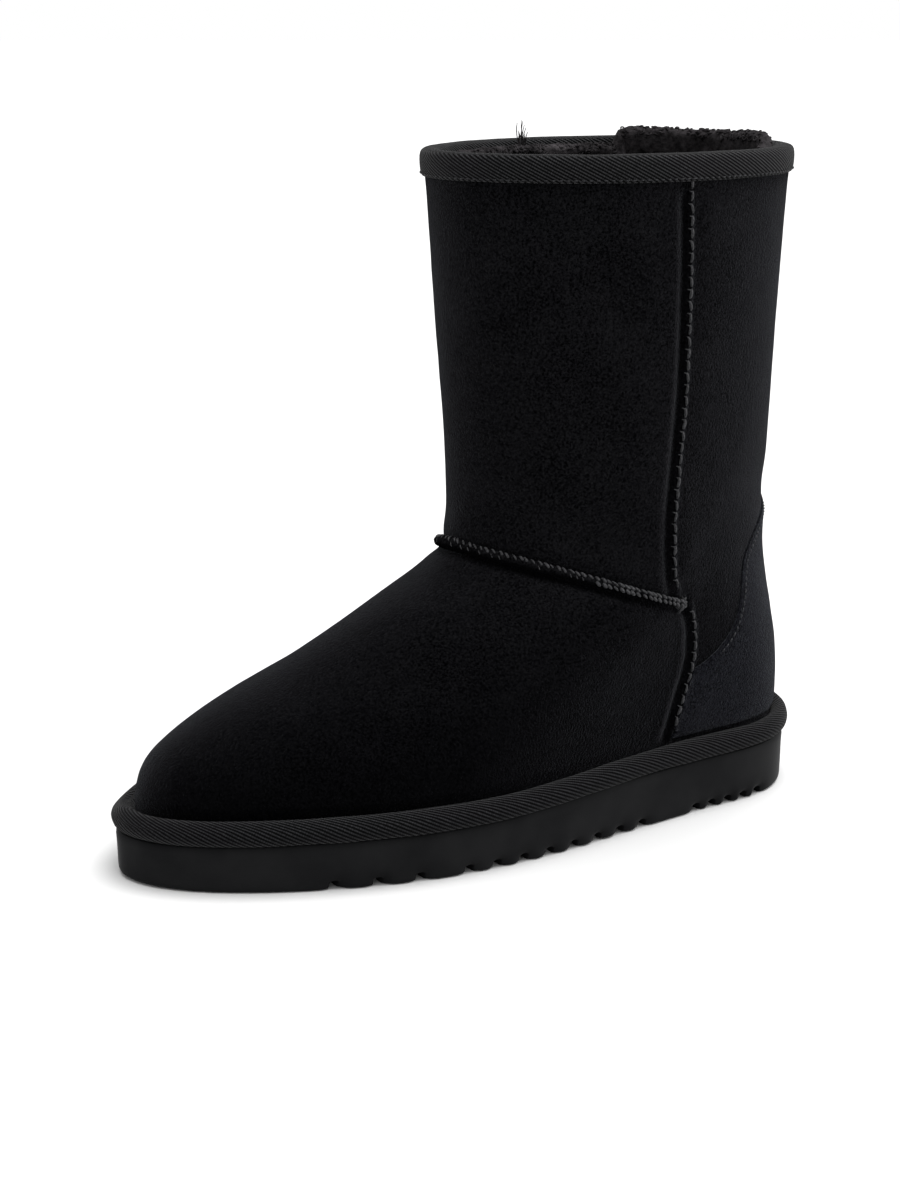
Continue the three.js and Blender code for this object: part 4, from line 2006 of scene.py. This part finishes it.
@dataclass
class Studio:
    """A white floor, soft light and the camera."""

    last: Last
    overhead: float = 4.7  # the strength of the light from above
    overhead_way: Triple = (0.12, -0.1, -1.0)
    box: float = 5.5  # the power of the soft box on the heel's side
    box_place: Triple = (-700.0, 420.0, 500.0)
    box_aim: Triple = (130.0, 0.0, 100.0)
    turn: float = 31.74  # degrees the camera stands forward of the boot's outer side
    rise: float = 15.68
    distance: float = 770.8
    lens: float = 63.12
    aim: Triple = (139.3, -9.0, 82.3)

    def build(self) -> None:
        """Sets the stage."""
        scene = bpy.context.scene
        scene.view_settings.view_transform = "Standard"
        self._floor()
        self._world()
        self._lights()
        self._camera()

    def _camera(self) -> None:
        """The camera, on the outer side and a little above."""
        turn, rise = math.radians(self.turn), math.radians(self.rise)
        level = math.cos(rise)
        back = Vector((math.sin(turn) * level, math.cos(turn) * level, math.sin(rise)))
        data = bpy.data.cameras.new("camera")
        data.lens = self.lens
        data.sensor_width = 36.0
        data.clip_start, data.clip_end = 0.05, 20.0
        camera = put("camera", data)
        camera.location = self.last.to_frame @ Vector(self.aim) + back * self.distance * MM
        self._face(camera, -back)
        bpy.context.scene.camera = camera

    @staticmethod
    def _face(thing: Object, way: Vector) -> None:
        """Turns a camera or light to face one way."""
        thing.rotation_euler = way.to_track_quat("-Z", "Y").to_euler()

    def _floor(self) -> None:
        """A plain white floor."""
        mesh = bmesh.new()
        bmesh.ops.create_grid(mesh, x_segments=1, y_segments=1, size=40.0)
        floor = put("floor", baked("floor", mesh))
        grey = (0.5, 0.5, 0.5, 1.0)
        finish = Nodes("floor_white", Base_Color=grey, Roughness=0.95, Specular_IOR_Level=0.0)
        floor.data.materials.append(finish.material)

    def _world(self) -> None:
        """An even white surround."""
        world = bpy.data.worlds.new("studio")
        world.use_nodes = True
        sky = world.node_tree.nodes["Background"]
        sky.inputs["Color"].default_value = (1.0, 1.0, 1.0, 1.0)
        sky.inputs["Strength"].default_value = 1.0
        bpy.context.scene.world = world

    def _lights(self) -> None:
        """A wide soft overhead light, and a soft box on the heel's side."""
        data = bpy.data.lights.new("overhead", "SUN")
        data.energy, data.angle = self.overhead, math.radians(50.0)
        self._face(put("overhead", data), Vector(self.overhead_way))
        data = bpy.data.lights.new("heel side", "AREA")
        data.size, data.energy = 0.7, self.box
        light = put("heel side", data)
        light.location = self.last.to_frame @ Vector(self.box_place)
        self._face(light, self.last.to_frame @ Vector(self.box_aim) - light.location)


# ---- putting it together


def main() -> None:
    """Builds the boot piece by piece and sets the stage."""
    logging.basicConfig(level=logging.INFO, format="%(name)s: %(message)s", stream=sys.stdout)
    last = Last(frame["nodes"])
    palette = Palette.mixed()
    Studio(last).build()
    upper = Upper(last, palette)
    upper.build()
    Stitching(upper).build()
    CollarTape(last, palette).build()
    WeltTape(last, palette).build()
    Outsole(last, palette).build()
    HeelCounter(upper).build()
    Fleece(upper).build()
    WoolFootbed(last, palette).build()


if __name__ == "__main__":
    main()
